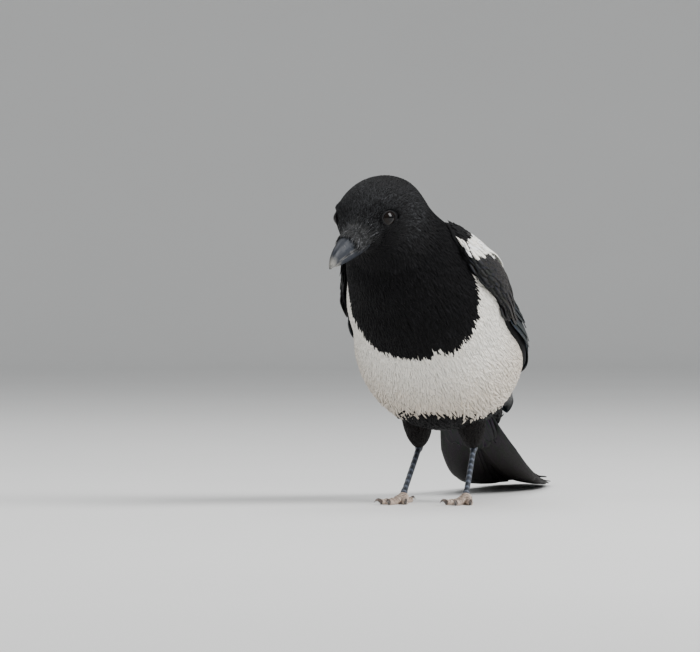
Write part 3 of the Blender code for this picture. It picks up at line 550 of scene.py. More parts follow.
def lens_points(sheet, first, second, size, rng):
    """Points of small feathers on a sheet, as an array of feathers, points and axes.

    Each spine runs on the sheet from its root, turned by size["turn"] from the sheet's first
    direction, and rises from size["sink"] to size["lift"] as a root of its share. The rings are
    flat triangles with their middle raised, and the tip bends aside by a random part."""
    length, half, lift = size["length"], size["half"], size["lift"]
    _, normal, ahead, beside = sheet.read(first, second)
    along = unit(ahead)
    across = np.cross(normal, along)
    turn = size["turn"]
    run = length[:, None] * LENS_SHARES
    pace_ahead = np.linalg.norm(ahead, axis=-1)
    pace_beside = (beside * across).sum(axis=-1)
    pace_beside = np.where(np.abs(pace_beside) < 1e-6, 1e-6, pace_beside)
    step_beside = run * (np.sin(turn) / pace_beside)[:, None]
    step_ahead = run * (np.cos(turn) / pace_ahead)[:, None]
    step_ahead -= step_beside * ((beside * along).sum(axis=-1) / pace_ahead)[:, None]
    spot, up, _, _ = sheet.read(first[:, None] + step_ahead, second[:, None] + step_beside)
    rise = size["sink"] + (lift[:, None] - size["sink"]) * LENS_SHARES ** 0.6
    spine = spot + up * rise[..., None]
    way = unit(np.gradient(spine, axis=1))
    flat = unit(np.cross(up, way))
    bend = rng.normal(0.0, 0.35, len(first))
    points = np.empty((len(first), LENS_COUNT, 3))
    points[:, 0] = spine[:, 0]
    crown = half * size.get("crown", 0.22)
    for ring in range(3):
        k = ring + 1
        wide = (half * LENS_WIDTHS[ring])[:, None] * flat[:, k]
        middle = spine[:, k] + flat[:, k] * (half * bend * LENS_SHARES[k] ** 2)[:, None]
        points[:, 1 + 3 * ring] = middle - wide
        points[:, 2 + 3 * ring] = middle + up[:, k] * crown[:, None]
        points[:, 3 + 3 * ring] = middle + wide
    points[:, 10] = spine[:, 4] + flat[:, 4] * (half * bend)[:, None]
    return points


def marks(colour, share):
    """Mark attribute of points from their colours and shares."""
    return together(*np.moveaxis(np.asarray(colour, float), -1, 0), share)


def part_of(size, chosen):
    """The sizes of the chosen feathers."""
    return {key: value[chosen] if np.ndim(value) else value for key, value in size.items()}


def jitter(rng, spread, count):
    """Random factors round one."""
    return 1.0 + spread * rng.normal(0.0, 1.0, count)


def varied(colour, spread, rng, *shape):
    """A colour for each feather, darker or lighter by a random factor."""
    return np.array(colour) * np.exp(spread * rng.normal(0.0, 1.0, shape))


def lens_piece(name, sheet, first, second, size, colour, rng, unwrap):
    """One mesh of small feathers with their colours, vane places and bake patches."""
    count = len(first)
    points = lens_points(sheet, first, second, size, rng)
    along = np.concatenate(((0.0,), np.repeat(LENS_SHARES[1:4], 3), (1.0,)))
    across = np.tile((-1.0, 0.0, 1.0), 3) * np.repeat(LENS_WIDTHS, 3)
    across = np.concatenate(((0.0,), across, (0.0,)))
    vane = together(size["half"][:, None] * across, size["length"][:, None] * along,
                    rng.random(count)[:, None])
    root = [0.01 + 0.98 * ((value - span[0]) / (span[1] - span[0]))[:, None]
            for value, span in ((second, unwrap[1]), (first, unwrap[0]))]
    patch = together(root[0] + PATCH * across, root[1] + PATCH * (2.0 * along - 1.0))
    return faces_to_mesh(name, points, LENS_FACES, count, marks(colour[:, None], along), vane,
                         np.clip(patch, 0.0, 1.0))


def plate_faces(rows, columns):
    """Faces of a closed plate: its upper grid, its lower grid turned over, and its rim."""
    upper = grid_quads(rows, columns)[:, (0, 3, 2, 1)]
    lower = upper[:, ::-1] + rows * columns
    rim = [(0, k) for k in range(columns)] + [(k, columns - 1) for k in range(1, rows)]
    rim += [(rows - 1, k) for k in range(columns - 2, -1, -1)]
    rim += [(k, 0) for k in range(rows - 2, 0, -1)]
    ring = np.array([i * columns + j for i, j in rim])
    after = np.roll(ring, -1)
    wall = np.stack((ring, after, after + rows * columns, ring + rows * columns), axis=-1)
    return np.concatenate((upper, lower, wall))


def vane_shape(share, blunt, narrow):
    """Half width of a long feather along it, 0 to 1: it widens from the root as a root of the
    share, and closes at the tip as the root of one less a high power of the share."""
    wide = np.minimum(narrow + (1.0 - narrow) * (share * 2.2) ** 0.7, 1.0)
    return wide * np.sqrt(np.maximum(1.0 - share ** blunt, 0.0)) + 0.02


def vane_grid(sheet, spec, rows, columns):
    """Upper points of long feathers: feathers, rows, columns and axes.

    The spine runs straight in the sheet's parameters from root to tip with a sideways bow,
    and its height follows root, middle and end heights. Across it the vane leans, droops to
    its edges as the square of the distance, and its tip is cut back by the wear."""
    share = np.linspace(0.0, 1.0, rows)
    across = np.linspace(-1.0, 1.0, columns)
    wear = spec["wear"]
    run = share[None, :, None] * (1.0 - wear[:, None, :] * share[None, :, None] ** 3)
    travel = (spec["tip"] - spec["root"])[:, None, None, :]
    first, second = (spec["root"][:, k, None, None] + travel[..., k] * run for k in (0, 1))
    second = second + spec["bow"][:, None, None] * np.sin(run * math.pi)
    spot, up, ahead, beside = sheet.read(first, second)
    way = unit(ahead * travel[..., :1] + beside * travel[..., 1:])
    side = np.cross(up, way)
    shape = vane_shape(share, spec["blunt"], spec["narrow"])[None, :, None]
    half = np.where(across < 0.0, spec["left"][:, None, None], spec["right"][:, None, None])
    offset = shape * half * across
    height = np.stack([np.interp(share, (0.0, 0.5, 1.0), row) for row in spec["height"]])
    height = height[:, :, None] + spec["lean"][:, None, None] * offset \
        * np.minimum(share * 2.0, 1.0)[:, None]
    height = height - offset ** 2 * spec["droop"]
    length = np.linalg.norm(np.diff(spot[:, :, columns // 2], axis=1), axis=-1).sum(axis=1)
    return spot + side * offset[..., None] + up * height[..., None], up, offset, run, length


def vane_piece(name, sheet, spec, rows, columns, colour, rng, thick=0.3, floor=None):
    """One mesh of long feathers as closed plates with a raised shaft."""
    count = len(spec["root"])
    upper, up, offset, run, length = vane_grid(sheet, spec, rows, columns)
    shaft = np.exp(-(offset / SHAFT_WIDTH) ** 2) * SHAFT_HEIGHT * (1.0 - run)
    lower = upper - up * (thick + shaft[..., None])
    upper = upper + up * shaft[..., None]
    if floor is not None:
        upper[..., 2] = np.maximum(upper[..., 2], floor + thick)
        lower[..., 2] = np.maximum(lower[..., 2], floor)
    vane = together(offset[:, None], (run * length[:, None, None])[:, None],
                    rng.random(count)[:, None, None, None])
    tile = np.arange(count)[:, None, None, None]
    wide = int(math.ceil(math.sqrt(count)))
    layer = np.array((0.0, 0.49))[None, :, None, None]
    patch = together((tile % wide + np.linspace(0.03, 0.97, columns)) / wide,
                     (tile // wide + 0.03 + 0.47 * run[:, None] + layer) / wide)
    return faces_to_mesh(name, np.stack((upper, lower), axis=1), plate_faces(rows, columns), count,
                         marks(colour[:, None], run[:, None]), vane, patch)


# Markings and finishes


def smooth(low, high, value):
    """Smooth step from 0 at low to 1 at high."""
    share = np.clip((value - low) / (high - low), 0.0, 1.0)
    return share * share * (3.0 - 2.0 * share)


def white_share(place, angle, wobble=0.0):
    """1 on the white belly and flanks, 0 on the black rest. The bib's edge has one notch."""
    round_back = np.abs(angle)
    notch = 3.5 * np.exp(-((angle - 160.0) / 5.0) ** 2)
    bib = np.interp(round_back, BIB_ANGLES, BIB_PLACES) - notch
    vent = np.interp(round_back, VENT_ANGLES, VENT_PLACES)
    inside = (place > bib + wobble) & (place < vent + 2.0 * wobble) & (round_back > 66.0)
    return inside.astype(float)


def plumage(place, angle, rng, colours):
    """Colour of the coat at places on the body, with a random part for each feather.

    The black is greyer on the forehead, brow and ear, a painted sheen; the white grows browner
    towards the vent and low on the flanks, partly its own tint and partly painted shade; a pale
    band crosses the rump."""
    count = np.shape(place)
    draw = rng.normal(0.0, 1.0, count) if rng else np.zeros(count)
    pale = white_share(place, angle, 0.5 * draw)
    round_back = np.abs(angle)
    # Painted sheen: crown, forehead and ear turn grey, more on some feathers at random.
    crown = smooth(-6.0, -20.0, place) * smooth(100.0, 55.0, round_back)
    ear = np.exp(-((place + 4.0) / 7.0) ** 2 - ((round_back - 88.0) / 34.0) ** 2)
    grey = np.clip(crown + ear, 0.0, 1.0) * (0.7 + 0.5 * np.clip(draw, -1.0, 2.0))
    black, white = np.array(colours.black), np.array(colours.white)
    dark = black + (np.array(colours.head_sheen_grey) - black) * np.clip(grey, 0.0, 1.0)[..., None]
    dark = dark * np.exp(0.28 * draw)[..., None]
    # Towards the vent the white turns browner, partly its own tint and partly painted shade; the
    # random part is each feather's tint.
    buff_and_shade = 0.7 * smooth(66.0, 104.0, place) + 0.25 * smooth(0.5, 2.2, draw)
    light = white + (np.array(colours.buff_and_shade) - white) * np.clip(buff_and_shade, 0.0, 1.0)[..., None]
    light = light * (1.0 + 0.05 * np.clip(draw, -2.0, 1.0))[..., None]
    rump = smooth(116.0, 121.0, place) * smooth(134.0, 128.0, place)
    rump = rump * smooth(70.0, 52.0, round_back)
    dark = dark + (0.42 * white - dark) * (rump * 0.85)[..., None]
    return dark * (1.0 - pale[..., None]) + light * pale[..., None]


class Nodes:
    """Shader of one material, built node by node."""

    def __init__(self, name):
        self.material = bpy.data.materials.new(name)
        self.material.use_nodes = True
        self.tree = self.material.node_tree
        self.shader = self.tree.nodes["Principled BSDF"]

    def add(self, kind, links=(), **values):
        """A node with its settings, its inputs by name or number, and links (input, output)."""
        node = self.tree.nodes.new(kind)
        for key, value in values.items():
            if key.startswith("in_"):
                where = key[3:]
                node.inputs[int(where) if where.isdigit() else where].default_value = value
            else:
                setattr(node, key, value)
        for where, output in links:
            self.tree.links.new(output, node.inputs[where])
        return node

    def feed(self, socket, value):
        """Link an output to a socket, or set the socket's constant."""
        if isinstance(value, bpy.types.NodeSocket):
            self.tree.links.new(value, socket)
        else:
            socket.default_value = value

    def math(self, operation, first, second=0.0):
        """One Math node over outputs or numbers."""
        node = self.tree.nodes.new("ShaderNodeMath")
        node.operation = operation
        self.feed(node.inputs[0], first)
        self.feed(node.inputs[1], second)
        return node.outputs[0]

    def times(self, first, second):
        """Product of outputs or numbers."""
        return self.math("MULTIPLY", first, second)

    def vane(self):
        """The three numbers of the vane attribute."""
        kept = self.add("ShaderNodeAttribute", attribute_name="vane")
        return self.add("ShaderNodeSeparateXYZ", (("Vector", kept.outputs["Vector"]),)).outputs

    def spots(self):
        """Object coordinates."""
        return self.add("ShaderNodeTexCoord").outputs["Object"]

    def join(self, *parts):
        """Vector of outputs."""
        return self.add("ShaderNodeCombineXYZ", tuple(zip("XYZ", parts))).outputs[0]

    def mottle(self, value, colour, factor, full=1.0):
        """Colour that turns lighter by the factor where the value is high."""
        lighter = [min(part * factor, 0.6) for part in colour]
        return self.mix(self.ramp(value, ((0.35, 0.0), (0.7, full))), colour, lighter)

    def mix(self, share, first, second, blend="MIX"):
        """Colour mix over outputs or colours."""
        node = self.tree.nodes.new("ShaderNodeMix")
        node.data_type, node.blend_type = "RGBA", blend
        for where, value in ((0, share), (6, first), (7, second)):
            if where and not isinstance(value, bpy.types.NodeSocket):
                value = (*value[:3], 1.0)
            self.feed(node.inputs[where], value)
        return node.outputs[2]

    def noise(self, vector, scale, detail=3.0, rough=0.55):
        """Noise over a vector output."""
        node = self.add("ShaderNodeTexNoise", (("Vector", vector),), in_Scale=scale,
                        in_Detail=detail, in_Roughness=rough)
        return node.outputs["Fac"]

    def ramp(self, value, stops):
        """Values between stops of (place, number)."""
        node = self.tree.nodes.new("ShaderNodeMapRange")
        node.interpolation_type = "SMOOTHSTEP"
        self.tree.links.new(value, node.inputs[0])
        for where, number in enumerate(np.transpose(stops).ravel()):
            node.inputs[where + 1].default_value = number
        return node.outputs[0]

    def bump(self, height, strength, reach):
        """Bump on the shader's normal."""
        node = self.add("ShaderNodeBump", (("Height", height),), in_Strength=strength,
                        in_Distance=reach)
        self.tree.links.new(node.outputs[0], self.shader.inputs["Normal"])

    def set(self, **values):
        """Constants on the shader's own sockets, and links for outputs."""
        for key, value in values.items():
            self.feed(self.shader.inputs[key.replace("_", " ")], value)


# Finishes of feathers: roughness, sheen, coat, specular level and strength of the streaks.
FINISHES = {
    "skin down": (0.8, 0.0, 0.0, 0.05, 0.2),
    "black feathers": (0.62, 0.0, 0.0, 0.07, 0.45),
    "head feathers": (0.55, 0.0, 0.0, 0.1, 0.5),
    "white feathers": (0.75, 0.2, 0.0, 0.2, 0.06),
    "bristles": (0.4, 0.0, 0.0, 0.4, 0.3),
    "flight feathers": (0.42, 0.0, 0.08, 0.25, 0.3),
    "covert feathers": (0.42, 0.0, 0.05, 0.2, 0.35),
    "mantle feathers": (0.6, 0.0, 0.0, 0.07, 0.45),
    "shoulder feathers": (0.7, 0.2, 0.0, 0.2, 0.08),
    "tail feathers": (0.5, 0.0, 0.02, 0.08, 0.3),
}


def feather_material(name, gloss=None):
    """Feathers: barbs as streaks along each vane, and a fine bump.

    The vane attribute holds millimetres across and along the feather and a random number, so
    noise stretched along it draws barbs; gloss, two colours and an amount, tints the base where
    it is seen straight on."""
    roughness, sheen, coat, shine, streak = FINISHES[name]
    nodes = Nodes(name)
    mark = nodes.add("ShaderNodeAttribute", attribute_name="mark")
    across, along, number = nodes.vane()
    slant = nodes.math("SUBTRACT", along, nodes.times(nodes.math("ABSOLUTE", across), 1.1))
    barbs = nodes.join(nodes.times(slant, 2.6), nodes.times(across, 0.5),
                       nodes.times(number, 37.0))
    hairs = nodes.join(nodes.times(across, 5.0), nodes.times(along, 0.35),
                       nodes.times(number, 61.0))
    both = nodes.math("ADD", nodes.times(nodes.noise(barbs, 1.6), 0.5),
                      nodes.times(nodes.noise(hairs, 1.0), 0.5))
    shade = nodes.ramp(both, ((0.3, 1.0 - streak), (0.7, 1.0 + streak)))
    colour = nodes.mix(1.0, mark.outputs["Color"], nodes.join(shade, shade, shade), "MULTIPLY")
    if gloss:
        wave = nodes.noise(hairs, 0.22, 1.0)
        tint = nodes.mix(nodes.ramp(wave, ((0.35, 0.0), (0.65, 1.0))), gloss[0], gloss[1])
        facing = nodes.add("ShaderNodeLayerWeight", in_Blend=0.35).outputs["Facing"]
        amount = nodes.ramp(facing, ((0.05, gloss[2]), (0.8, 0.15 * gloss[2])))
        dark = nodes.math("SUBTRACT", 1.0, nodes.times(mark.outputs["Fac"], 2.5))
        colour = nodes.mix(nodes.times(amount, nodes.math("MAXIMUM", dark, 0.0)), colour, tint)
    nodes.bump(both, 0.5, 0.0003)
    rough = nodes.ramp(both, ((0.25, roughness - 0.1), (0.75, roughness + 0.12)))
    nodes.set(Base_Color=colour, Roughness=rough, Sheen_Weight=sheen, Sheen_Roughness=0.45,
              Coat_Weight=coat, Coat_Roughness=0.32, Specular_IOR_Level=shine)
    return nodes.material


# Sizes and colours that a user would change


def length_value(name, description, default, low=0.0, high=0.1):
    """A length in metres for the panel."""
    return bpy.props.FloatProperty(name=name, description=description, default=default, min=low,
                                   max=high, unit="LENGTH", precision=4)


def colour_value(name, description, default):
    """A linear colour for the panel."""
    return bpy.props.FloatVectorProperty(name=name, description=description, default=default,
                                         size=3, min=0.0, max=1.0, subtype="COLOR")


def light_value(name, description, default):
    """The power of one lamp for the panel."""
    return bpy.props.FloatProperty(name=name, description=description, default=default, min=0.0,
                                   max=500.0, unit="POWER")


class MagpieSizes(bpy.types.PropertyGroup):
    """Sizes of the coat and of the small forms."""

    eye_radius: length_value("Eye radius", "Radius of each eyeball", 0.0044)
    skin_depth: length_value("Skin depth", "How far the skin lies inside the solids", 0.0014)
    bristle_length: length_value("Bristle length", "Length of the bristles over the nostrils",
                                 0.0125)
    coat_density: bpy.props.FloatProperty(
        name="Coat density", description="Feathers for each planned one", default=1.0, min=0.1,
        max=1.3, subtype="FACTOR")


class MagpieColours(bpy.types.PropertyGroup):
    """Colours of plumage, horn and skin."""

    black: colour_value("Black", "Bib, back and vent", (0.0045, 0.0044, 0.005))
    # This grey is painted sheen on the crown, brow and ear, not wear, and painted highlight on the
    # bristles.
    head_sheen_grey: colour_value("Head grey", "Worn feathers of crown and ear", (0.019, 0.0195, 0.021))
    white: colour_value("White", "Belly, flanks and shoulder patch", (0.88, 0.845, 0.775))
    # Colour of the lower belly's own tint together with the painted shade on it.
    buff_and_shade: colour_value("Buff", "Shade of the lower belly", (0.60, 0.51, 0.405))
    covert: colour_value("Coverts", "Brown-black feathers of the wing's arm",
                         (0.014, 0.0105, 0.009))
    wing_black: colour_value("Wing black", "Base colour of the wings", (0.0085, 0.0085, 0.0095))
    gloss_blue: colour_value("Blue gloss", "Sheen of the wings", (0.008, 0.024, 0.06))
    gloss_green: colour_value("Green gloss", "Sheen of the tail", (0.008, 0.03, 0.02))
    tail_brown: colour_value("Tail brown", "Underside of the tail", (0.009, 0.0065, 0.0048))
    bill: colour_value("Bill", "Slate horn of the bill", (0.012, 0.0145, 0.02))
    bill_tip: colour_value("Bill tip", "Worn edge and tip of the bill", (0.3, 0.29, 0.265))
    iris: colour_value("Iris", "Dark brown iris", (0.003, 0.0016, 0.001))
    shank: colour_value("Shank", "Scutes of the shanks", (0.019, 0.022, 0.029))
    toe: colour_value("Toe", "Dusty skin of the toes", (0.36, 0.27, 0.22))
    claw: colour_value("Claw", "Horn of the claws", (0.045, 0.035, 0.03))


class MagpieLight(bpy.types.PropertyGroup):
    """Strength of the studio lights and size of the floor."""

    key: light_value("Key light", "Power of the main soft light", 56.0)
    fill: light_value("Fill light", "Power of the light opposite", 9.0)
    top: light_value("Top light", "Power of the light overhead", 24.0)
    world: bpy.props.FloatProperty(name="World", description="Strength of the pale surround",
                                   default=0.5, min=0.0, max=5.0)
    floor: length_value("Floor", "Half width of the floor", 6.0, 0.5, 20.0)


class PieceOperator:
    """Shared by the operators: the sheets that pieces lie on, made once each."""

    bl_options = {"REGISTER", "UNDO"}
    sheets = {}

    def sheet(self, word):
        """The body, tail, left or right wing sheet."""
        if word not in PieceOperator.sheets:
            make = {"body": body_sheet, "tail": tail_sheet}.get(word)
            PieceOperator.sheets[word] = make() if make else wing_sheet(SIDES[word])
        return PieceOperator.sheets[word]


# Skin and coat

COAT_PARTS = (
    ("coat_face", (FACE_START, -16.0)), ("coat_brow", (-16.0, -6.0)), ("coat_crown", (-6.0, 5.0)),
    ("coat_nape", (5.0, 20.0)), ("coat_bib", (20.0, 46.0)), ("coat_breast", (46.0, 72.0)),
    ("coat_belly", (72.0, 104.0)), ("coat_vent", (104.0, 140.0)), ("coat_rump", (140.0, 181.0)),
)
COAT_PLACES = (-30.0, -20.0, -8.0, 4.0, 20.0, 45.0, 80.0, 110.0, 182.0)
COAT_LENGTHS = (1.9, 2.5, 3.4, 4.8, 6.5, 8.5, 10.5, 11.5, 13.0)
COAT_HALVES = (0.3, 0.34, 0.42, 0.52, 0.55, 0.56, 0.6, 0.75, 1.5)
COAT_LIFTS = (0.35, 0.4, 0.45, 0.5, 0.55, 0.6, 0.65, 0.8, 1.1)
COAT_DENSITIES = (3.6, 3.1, 2.5, 1.9, 1.6, 1.5, 1.3, 0.95, 0.34)
ROUND = (-180.0, 180.0)
BODY_UNWRAP = ((FACE_START, REAR_END), ROUND)
HEAD_COAT_END = 5.0
PALE_FROM = 0.3
EYE_CLEAR = (4.5, 3.7)
SHANK_DENSITY = 1.3
SKIN_SPANS = ((FACE_START, -30.5, 12), (-29.6, 10.0, 60), (11.0, REAR_END, 110))
SKIN_SHARES = ((FACE_RING, -10.0, 20.0), (0.3, 0.6, 0.75))


def thigh_path(word):
    """Middle line and radius of a feathered shank, from inside the belly to the ankle."""
    knee, ankle = np.array(KNEES[word]), np.array(ANKLES[word])
    share = np.linspace(0.0, 1.0, 25)
    end = ankle + unit(knee - ankle) * (ANKLE_RADIUS + 0.6)
    path = knee + (end - knee) * share[:, None]
    path[:, 0] += THIGH_BOW * np.sin(share * math.pi) * (1.0 - share)
    return path, THIGH_RADIUS - THIGH_TAPER * share - THIGH_CUFF * share ** 6


def thigh_sheet(word):
    """Surface of a feathered shank, by millimetres down it and angle round it."""
    path, radius = thigh_path(word)
    angles = np.arange(-225.0, 226.0, 7.5)
    turn = np.radians(angles)
    points = rings_across(path, radius[:, None] * np.sin(turn),
                          radius[:, None] * THIGH_TALL * np.cos(turn))
    length = np.linalg.norm(path[-1] - path[0])
    return Sheet(np.linspace(0.0, length, len(path)), angles, points, 1.0)


class MAGPIE_OT_skin(PieceOperator, bpy.types.Operator):
    """One closed skin under the feathers, from the bill's base to the tail and the ankles"""

    bl_idname = "magpie.skin"
    bl_label = "Skin"

    def execute(self, context):
        sizes, colours = context.scene.magpie_sizes, context.scene.magpie_colours
        sheet = self.sheet("body")
        places = np.concatenate([np.linspace(*span) for span in SKIN_SPANS])
        angles = np.arange(0.0, 360.0, 3.0) - 180.0
        grid_place, grid_angle = np.meshgrid(places, angles, indexing="ij")
        spot, up, _, _ = sheet.read(grid_place, grid_angle)
        depth = sizes.skin_depth / MM * np.interp(places, *SKIN_SHARES)[:, None, None]
        mark = marks(plumage(grid_place, grid_angle, None, colours), 1.0)
        skin = tube("skin", spot - up * depth, mark, np.zeros(3))
        for word in SIDES:
            path, radius = thigh_path(word)
            inner = radius - THIGH_SKIN
            rings = path_rings(path, inner, inner * THIGH_TALL, 32)
            shank = tube("skin_shank", rings, marks(colours.black, 1.0), np.zeros(3))
            join = skin.modifiers.new("join", "BOOLEAN")
            join.operation, join.solver, join.object = "UNION", "EXACT", shank
            context.view_layer.objects.active = skin
            bpy.ops.object.modifier_apply(modifier=join.name)
            bpy.data.objects.remove(shank, do_unlink=True)
        skin.data.polygons.foreach_set("use_smooth", np.ones(len(skin.data.polygons), bool))
        finish_piece(skin, feather_material("skin down"), "black_plumage",
                     ("head", "neck", "torso", "thigh_left", "thigh_right"))
        return {"FINISHED"}


def eye_centre(side):
    """Centre of the left (1) or right (-1) eye."""
    return from_head((EYE_PLACE[0], side * EYE_PLACE[1], EYE_PLACE[2] + EYE_LIFT))


def eye_reach(spots):
    """Distance to the nearer eye, counted longer above and below it and shorter to its sides."""
    near = []
    for side in SIDES.values():
        away = (spots - eye_centre(side)) @ HEAD_AXES.T
        near.append(np.linalg.norm(away * np.array((1.0, 0.6, 1.33)), axis=-1))
    return np.minimum(*near)


def brow_rise(spots):
    """Millimetres that the brow's feathers stand up over each eye, as smooth humps."""
    rise = np.zeros(spots.shape[:-1])
    for side in SIDES.values():
        brow = from_head(EYE_PLACE * np.array((1.0, side, 1.0)) + BROW_STEP)
        away = (spots - brow) @ HEAD_AXES.T
        rise += BROW_HEIGHT * np.exp(-(away[..., 0] / 5.0) ** 2 - (away[..., 2] / 1.9) ** 2)
    return rise


def coat_size(place, angle, rng):
    """Length, half width, lift and turn of the small feathers at places on the body."""
    count = len(place)
    length, half, lift = (
        np.interp(place, COAT_PLACES, values) * jitter(rng, spread, count)
        for values, spread in ((COAT_LENGTHS, 0.16), (COAT_HALVES, 0.12), (COAT_LIFTS, 0.16)))
    loose = smooth(80.0, 98.0, place) * smooth(115.0, 150.0, np.abs(angle))
    turn = rng.normal(0.0, 1.0, count) * (0.09 + 0.22 * loose)
    length = length * (1.0 + 0.7 * loose * rng.random(count))
    lift = lift + 1.2 * loose * rng.random(count) ** 2
    return {"length": np.maximum(length, 1.2), "half": np.maximum(half, 0.25),
            "lift": np.clip(lift, 0.2, 2.4), "sink": -0.4, "turn": turn, "crown": 0.14}


class MAGPIE_OT_coat(PieceOperator, bpy.types.Operator):
    """Small feathers over the whole body and the shanks, smallest on the face"""

    bl_idname = "magpie.coat"
    bl_label = "Coat"

    def execute(self, context):
        colours = context.scene.magpie_colours
        scale = context.scene.magpie_sizes.coat_density
        sheet = self.sheet("body")
        dark, head, light = (feather_material(name + " feathers")
                             for name in ("black", "head", "white"))

        def density(place, angle):
            wing = (np.abs(angle) - wing_angle(place, 0.0))
            wing = wing / (wing_angle(place, 1.0) - wing_angle(place, 0.0))
            hidden = (place > 34.0) & (place < 122.0) & (wing > 0.12) & (wing < 0.86)
            plan = scale * np.interp(place, COAT_PLACES, COAT_DENSITIES)
            return plan * np.where(hidden, 0.12, 1.0)

        for number, (name, span) in enumerate(COAT_PARTS):
            rng = np.random.default_rng(COAT_SEED + number)
            place, angle = spread_seeds(sheet, span, ROUND, density, 0.5 + 0.07 * number)
            spot, _, _, _ = sheet.read(place, angle)
            size = coat_size(place, angle, rng)
            tip, _, _, _ = sheet.read(place + size["length"] * 0.8, angle)
            keep = (eye_reach(spot) > EYE_CLEAR[0]) & (eye_reach(tip) > EYE_CLEAR[1])
            size["lift"] = size["lift"] + brow_rise(spot)
            place, angle, size = place[keep], angle[keep], part_of(size, keep)
            colour = plumage(place + 0.85 * size["length"], angle, rng, colours)
            pale = colour.mean(axis=-1) > PALE_FROM
            material = head if span[1] <= HEAD_COAT_END else dark
            for piece, chosen, finish, slot in ((name, ~pale, material, "black_plumage"),
                                                (name + "_white", pale, light, "white_plumage")):
                if chosen.any():
                    item = lens_piece(piece, sheet, place[chosen], angle[chosen],
                                      part_of(size, chosen), colour[chosen], rng, BODY_UNWRAP)
                    finish_piece(item, finish, slot)
        for number, word in enumerate(SIDES):
            self.shank_coat(word, colours, dark, np.random.default_rng(SHANK_SEED + number))
        return {"FINISHED"}

    def shank_coat(self, word, colours, material, rng):
        """Loose black feathers down one feathered shank."""
        sheet = thigh_sheet(word)
        end = sheet.first[-1]
        down, angle = spread_seeds(sheet, (0.0, end - 1.5), ROUND,
                                   lambda first, second: np.full(first.shape, SHANK_DENSITY))
        count = len(down)
        share = down / end
        size = {"length": (7.5 - 3.8 * share) * jitter(rng, 0.2, count),
                "half": 0.75 - 0.25 * share, "lift": 0.9 - 0.45 * share,
                "sink": -0.9, "turn": rng.normal(0.0, 0.2, count)}
        colour = varied(colours.black, 0.3, rng, count, 1) * np.array((1.5, 1.25, 1.1))
        item = lens_piece("coat_shank_" + word, sheet, down, angle, size, colour, rng,
                          ((0.0, end), ROUND))
        finish_piece(item, material, "black_plumage")


# Eyes, bill and bristles


class MAGPIE_OT_eyes(PieceOperator, bpy.types.Operator):
    """Wet dark eyes, each with a lid of small beads round it"""

    bl_idname = "magpie.eyes"
    bl_label = "Eyes"

    def execute(self, context):
        sizes, colours = context.scene.magpie_sizes, context.scene.magpie_colours
        radius = sizes.eye_radius / MM
        for word, side in SIDES.items():
            facing = unit(np.array((0.34, side * 0.93, 0.1)) @ HEAD_AXES)
            level = unit(np.cross(UP, facing))
            frame_axes = np.array((level, np.cross(facing, level), facing))
            self.eyeball(word, side, radius, frame_axes, colours)
            self.lid(word, side, radius, frame_axes)
        return {"FINISHED"}

    def eyeball(self, word, side, radius, frame_axes, colours):
        """Sphere with a raised cornea: the radius grows near the axis as a smooth bump."""
        ball, polar = ball_grid(48, 64, 0.02)
        reach = radius * (1.0 + 0.035 * np.exp(-(polar / 0.42) ** 2))
        rings = eye_centre(side) + (ball * reach[:, None, None]) @ frame_axes
        item = tube("eyeball_" + word, rings, None, together(polar[:, None] / math.pi, 0.0, 0.0))
        nodes = Nodes("eye " + word)
        polar_share = nodes.vane()[0]
        fibres = nodes.noise(nodes.spots(), 1400.0, 2.0)
        pupil = nodes.ramp(polar_share, ((0.125, 1.0), (0.14, 0.0)))
        rim = nodes.ramp(polar_share, ((0.27, 0.0), (0.31, 1.0)))
        iris = nodes.mottle(fibres, colours.iris, 2.2)
        colour = nodes.mix(pupil, iris, (0.0012, 0.0012, 0.0015))
        colour = nodes.mix(rim, colour, (0.004, 0.003, 0.003))
        nodes.set(Base_Color=colour, Roughness=0.1, Coat_Weight=0.2, Coat_Roughness=0.02,
                  Specular_IOR_Level=0.12)
        finish_piece(item, nodes.material, "eye_glaze", ("eye_" + word,))

    def lid(self, word, side, radius, frame_axes):
        """Ring of skin round the eye: a torus whose tube swells in beads along it."""
        count, sides = 120, 12
        turn, small = np.linspace(0.0, 2.0 * math.pi, count + 1)[:-1], full_turn(sides)
        open_wide = radius * (0.93 + 0.03 * np.cos(2.0 * turn))
        open_tall = radius * (0.76 + 0.02 * np.cos(turn))
        thick = (0.36 + 0.06 * np.abs(np.sin(turn * 21.0)))[:, None]
        forward = np.sqrt(np.maximum((radius * 1.06) ** 2 - (radius * 0.9) ** 2, 0.1))
        spine = together(np.cos(turn) * open_wide, np.sin(turn) * open_tall, forward)
        outward = unit(spine * np.array((1.0, 1.0, 0.35)))
        lift = np.cross(outward, unit(np.gradient(spine, axis=0)))
        rings = (spine[:, None] + outward[:, None] * (thick * np.cos(small) * 1.2)[..., None]
                 + lift[:, None] * (thick * np.sin(small))[..., None])
        points = (eye_centre(side) + rings @ frame_axes).reshape(-1, 3)
        patch = together((np.arange(len(points)) // sides) / (count + 1.0),
                         (np.arange(len(points)) % sides) / (sides + 1.0))
        item = faces_to_mesh("lid_" + word, points,
                             grid_quads(count + 1, sides, True) % len(points), patch=patch)
        turn_outwards(item)
        nodes = Nodes("lid skin " + word)
        grain = nodes.noise(nodes.spots(), 2600.0)
        nodes.bump(grain, 0.6, 0.0002)
        nodes.set(Base_Color=nodes.mix(grain, (0.004, 0.004, 0.004), (0.012, 0.012, 0.013)),
                  Roughness=0.6, Specular_IOR_Level=0.15)
        finish_piece(item, nodes.material, "black_plumage")


